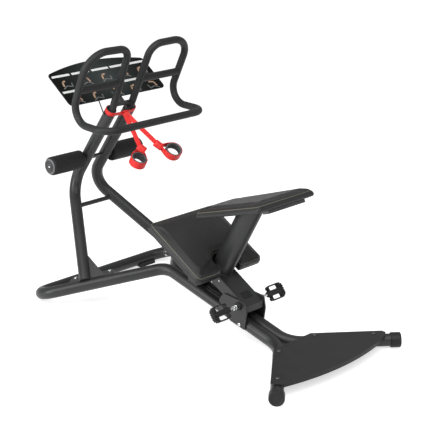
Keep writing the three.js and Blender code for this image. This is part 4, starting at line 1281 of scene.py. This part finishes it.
def makeStrap(word):
    size = strapSize
    route = [Vector(point) for point in strapRoutes[word]]
    line = denser(easedLine(route), 3)
    place = cuffPlaces[word]
    centre, axis, roll = Vector(place["centre"]), Vector(place["axis"]).normalized(), Vector(place["roll"])
    rollAxis = Vector((0.55, -0.55, -0.6)).normalized()
    run = (route[-1] - route[0]).normalized()
    flat = run.cross(Vector(size["facing"])).normalized()
    wide = [flat] * len(line)
    strap = ribbon("pull_strap_" + word, line, wide, size["width"], size["thickness"])
    settle(strap, None, "webbing", stands=["strap_" + word])
    turnedIn = rollAxis.cross(run).normalized()
    other = rollAxis.cross(turnedIn)
    spiral = []
    turns, pitch = size["rollTurns"], size["rollPitch"]
    for i in range(96):
        angle = 2 * math.pi * turns * i / 95
        reach = size["rollInner"] + pitch * turns * i / 95
        spiral.append(roll + turnedIn * reach * math.cos(angle) + other * reach * math.sin(angle))
    keeper = ribbon("strap_roll_" + word, spiral, [rollAxis] * 96, size["rollLength"], 2.9)
    settle(keeper, None, "webbing")
    toRoll = roll - centre
    toRoll = (toRoll - axis * toRoll.dot(axis)).normalized()
    side = axis.cross(toRoll)
    outer, inner, shares = [], [], []
    cuffRadius = size["cuffRadius"] - 1.5
    apex = centre + toRoll * cuffRadius
    reach = (roll - apex) * (1 - 8 / (roll - apex).length)
    for i in range(90):
        angle = 2 * math.pi * i / 90
        turn = min(angle, 2 * math.pi - angle)
        peak = max(1 - turn / math.radians(size["tipAngle"]), 0) ** 1.6
        around = toRoll * math.cos(angle) + side * math.sin(angle)
        outer.append(centre + around * cuffRadius + reach * peak)
        inner.append(centre + around * (cuffRadius - 5.3) + reach * peak * 0.12)
        shares.append(1 - 0.45 * peak)
    rims = [[p + axis * sign * (size["cuffWidth"] / 2 - 0.4) for p in inner] for sign in (-1, 1)]
    cuff = ribbon("cuff_band_" + word, outer, [axis] * 90, size["cuffWidth"] - 3, 3, True, 0.8, shares)
    settle(cuff, None, "webbing", stands=["cuff_" + word])
    width, thickness = size["cuffWidth"], size["padThickness"]
    lining = ribbon("cuff_lining_" + word, inner, [axis] * 90, width, thickness, True, 2.6)
    settle(lining, None, "lining", stands=["cuff_pad_" + word])
    edges = [tube("cuff_rim", rim, 1.7, True, 3) for rim in rims]
    rimPiece = settle(joined("cuff_edging_" + word, *edges), greyPlastic, "lining")
    path = [toMetres @ point for point in line]
    long = sum((b - a).length for a, b in zip(path, path[1:]))


# Small parts.
def makeTrim():
    pad = slope(padSize["front"], padSize["slope"])
    coverTop = -26 - 0.3 - 11.7 - 0.3
    lean = math.radians(29.4)
    postUp = Vector((0, -math.sin(lean), math.cos(lean)))
    postAlong = Vector((0, math.cos(lean), math.sin(lean)))
    foot = Vector((0, 683, 326))
    normal = pad.col[2].xyz
    level = pad @ Vector((0, 0, coverTop + 0.6))
    points = []
    for i in range(64):
        angle = 2 * math.pi * i / 64
        spot = foot + acrossX * 38.3 * math.cos(angle) + postAlong * 55.3 * math.sin(angle)
        spot += postUp * ((level - spot).dot(normal) / postUp.dot(normal))
        points.append(spot)
    settle(bead("post_weld", points, 2.2), None, "frame_paint")
    pin = pad @ Vector((-56.5, -8, coverTop - 14))
    profile = [(0, -2), (3.4, -2), (3.4, 2.2), (2.6, 3), (0, 3.2)]
    settle(turned("cover_pin", profile, pin, -acrossX, 24), None, "bright_metal")
    print("trim made")


# Studio.
studio = {"floor": 0.75, "world": 0.62, "key": 150, "fill": 60, "side": 95, "white": 0.62}


def makeStudio():
    floor = started("studio_floor", bpy.ops.mesh.primitive_plane_add, size=120)
    edited(floor, (bpy.ops.mesh.subdivide, {"number_cuts": 3}))
    finish = Finish("studioFloor")
    seen = finish.node("ShaderNodeLightPath", output="Is Camera Ray")
    mirrored = finish.node("ShaderNodeLightPath", output="Is Glossy Ray")
    through = finish.node("ShaderNodeLightPath", output="Is Transmission Ray")
    share = (seen + mirrored + through).within(0, 1)
    value = studio["floor"]
    finish.show(
        Base_Color=finish.blend(share, (0.45, 0.45, 0.45), (value, value, value)), Roughness=0.9,
        Emission_Color=finish.blend(share, (0, 0, 0), (studio["white"],) * 3), Emission_Strength=1.0,
        Specular_IOR_Level=0.0,
    )
    floor.data.materials.append(finish.material)
    world = bpy.context.scene.world or bpy.data.worlds.new("studio")
    bpy.context.scene.world = world
    world.use_nodes = True
    tree = world.node_tree
    tree.nodes.clear()
    sky = tree.nodes.new("ShaderNodeBackground")
    sky.inputs["Strength"].default_value = studio["world"]
    white = tree.nodes.new("ShaderNodeBackground")
    path = tree.nodes.new("ShaderNodeLightPath")
    mix = tree.nodes.new("ShaderNodeMixShader")
    out = tree.nodes.new("ShaderNodeOutputWorld")
    tree.links.new(path.outputs["Is Camera Ray"], mix.inputs[0])
    tree.links.new(sky.outputs[0], mix.inputs[1])
    tree.links.new(white.outputs[0], mix.inputs[2])
    tree.links.new(mix.outputs[0], out.inputs[0])
    lamps = (
        ("key_lamp", studio["key"], 4.5, (-1.2, -2.6, 4.2)),
        ("fill_lamp", studio["fill"], 2.2, (-2.7, 0.2, 3.1)),
        ("side_lamp", studio["side"], 1.6, (-4.2, 1.3, 1.5)),
    )
    for name, power, size, spot in lamps:
        bpy.ops.object.light_add(type="AREA", location=spot)
        lamp = bpy.context.object
        lamp.name = name
        lamp.data.energy = power
        lamp.data.size = size
        lamp.rotation_euler = (Vector((0, 0, 0.5)) - Vector(spot)).to_track_quat("-Z", "Y").to_euler()
    bpy.context.scene.view_settings.view_transform = "Standard"
    print("studio set")


setCamera()
makeStraps()
makeTubes()
makeBars()
makeFeet()
makePlates()
makeScrews()
makePedals()
makeRollers()
makeCushion("pad_cushion", padOutline, padSize, "knee_pad")
makeCushion("seat_pad", seatOutline, seatSize, "seat_cushion")
print("cushions made")
makeBoard()
makeTrim()
makeStudio()
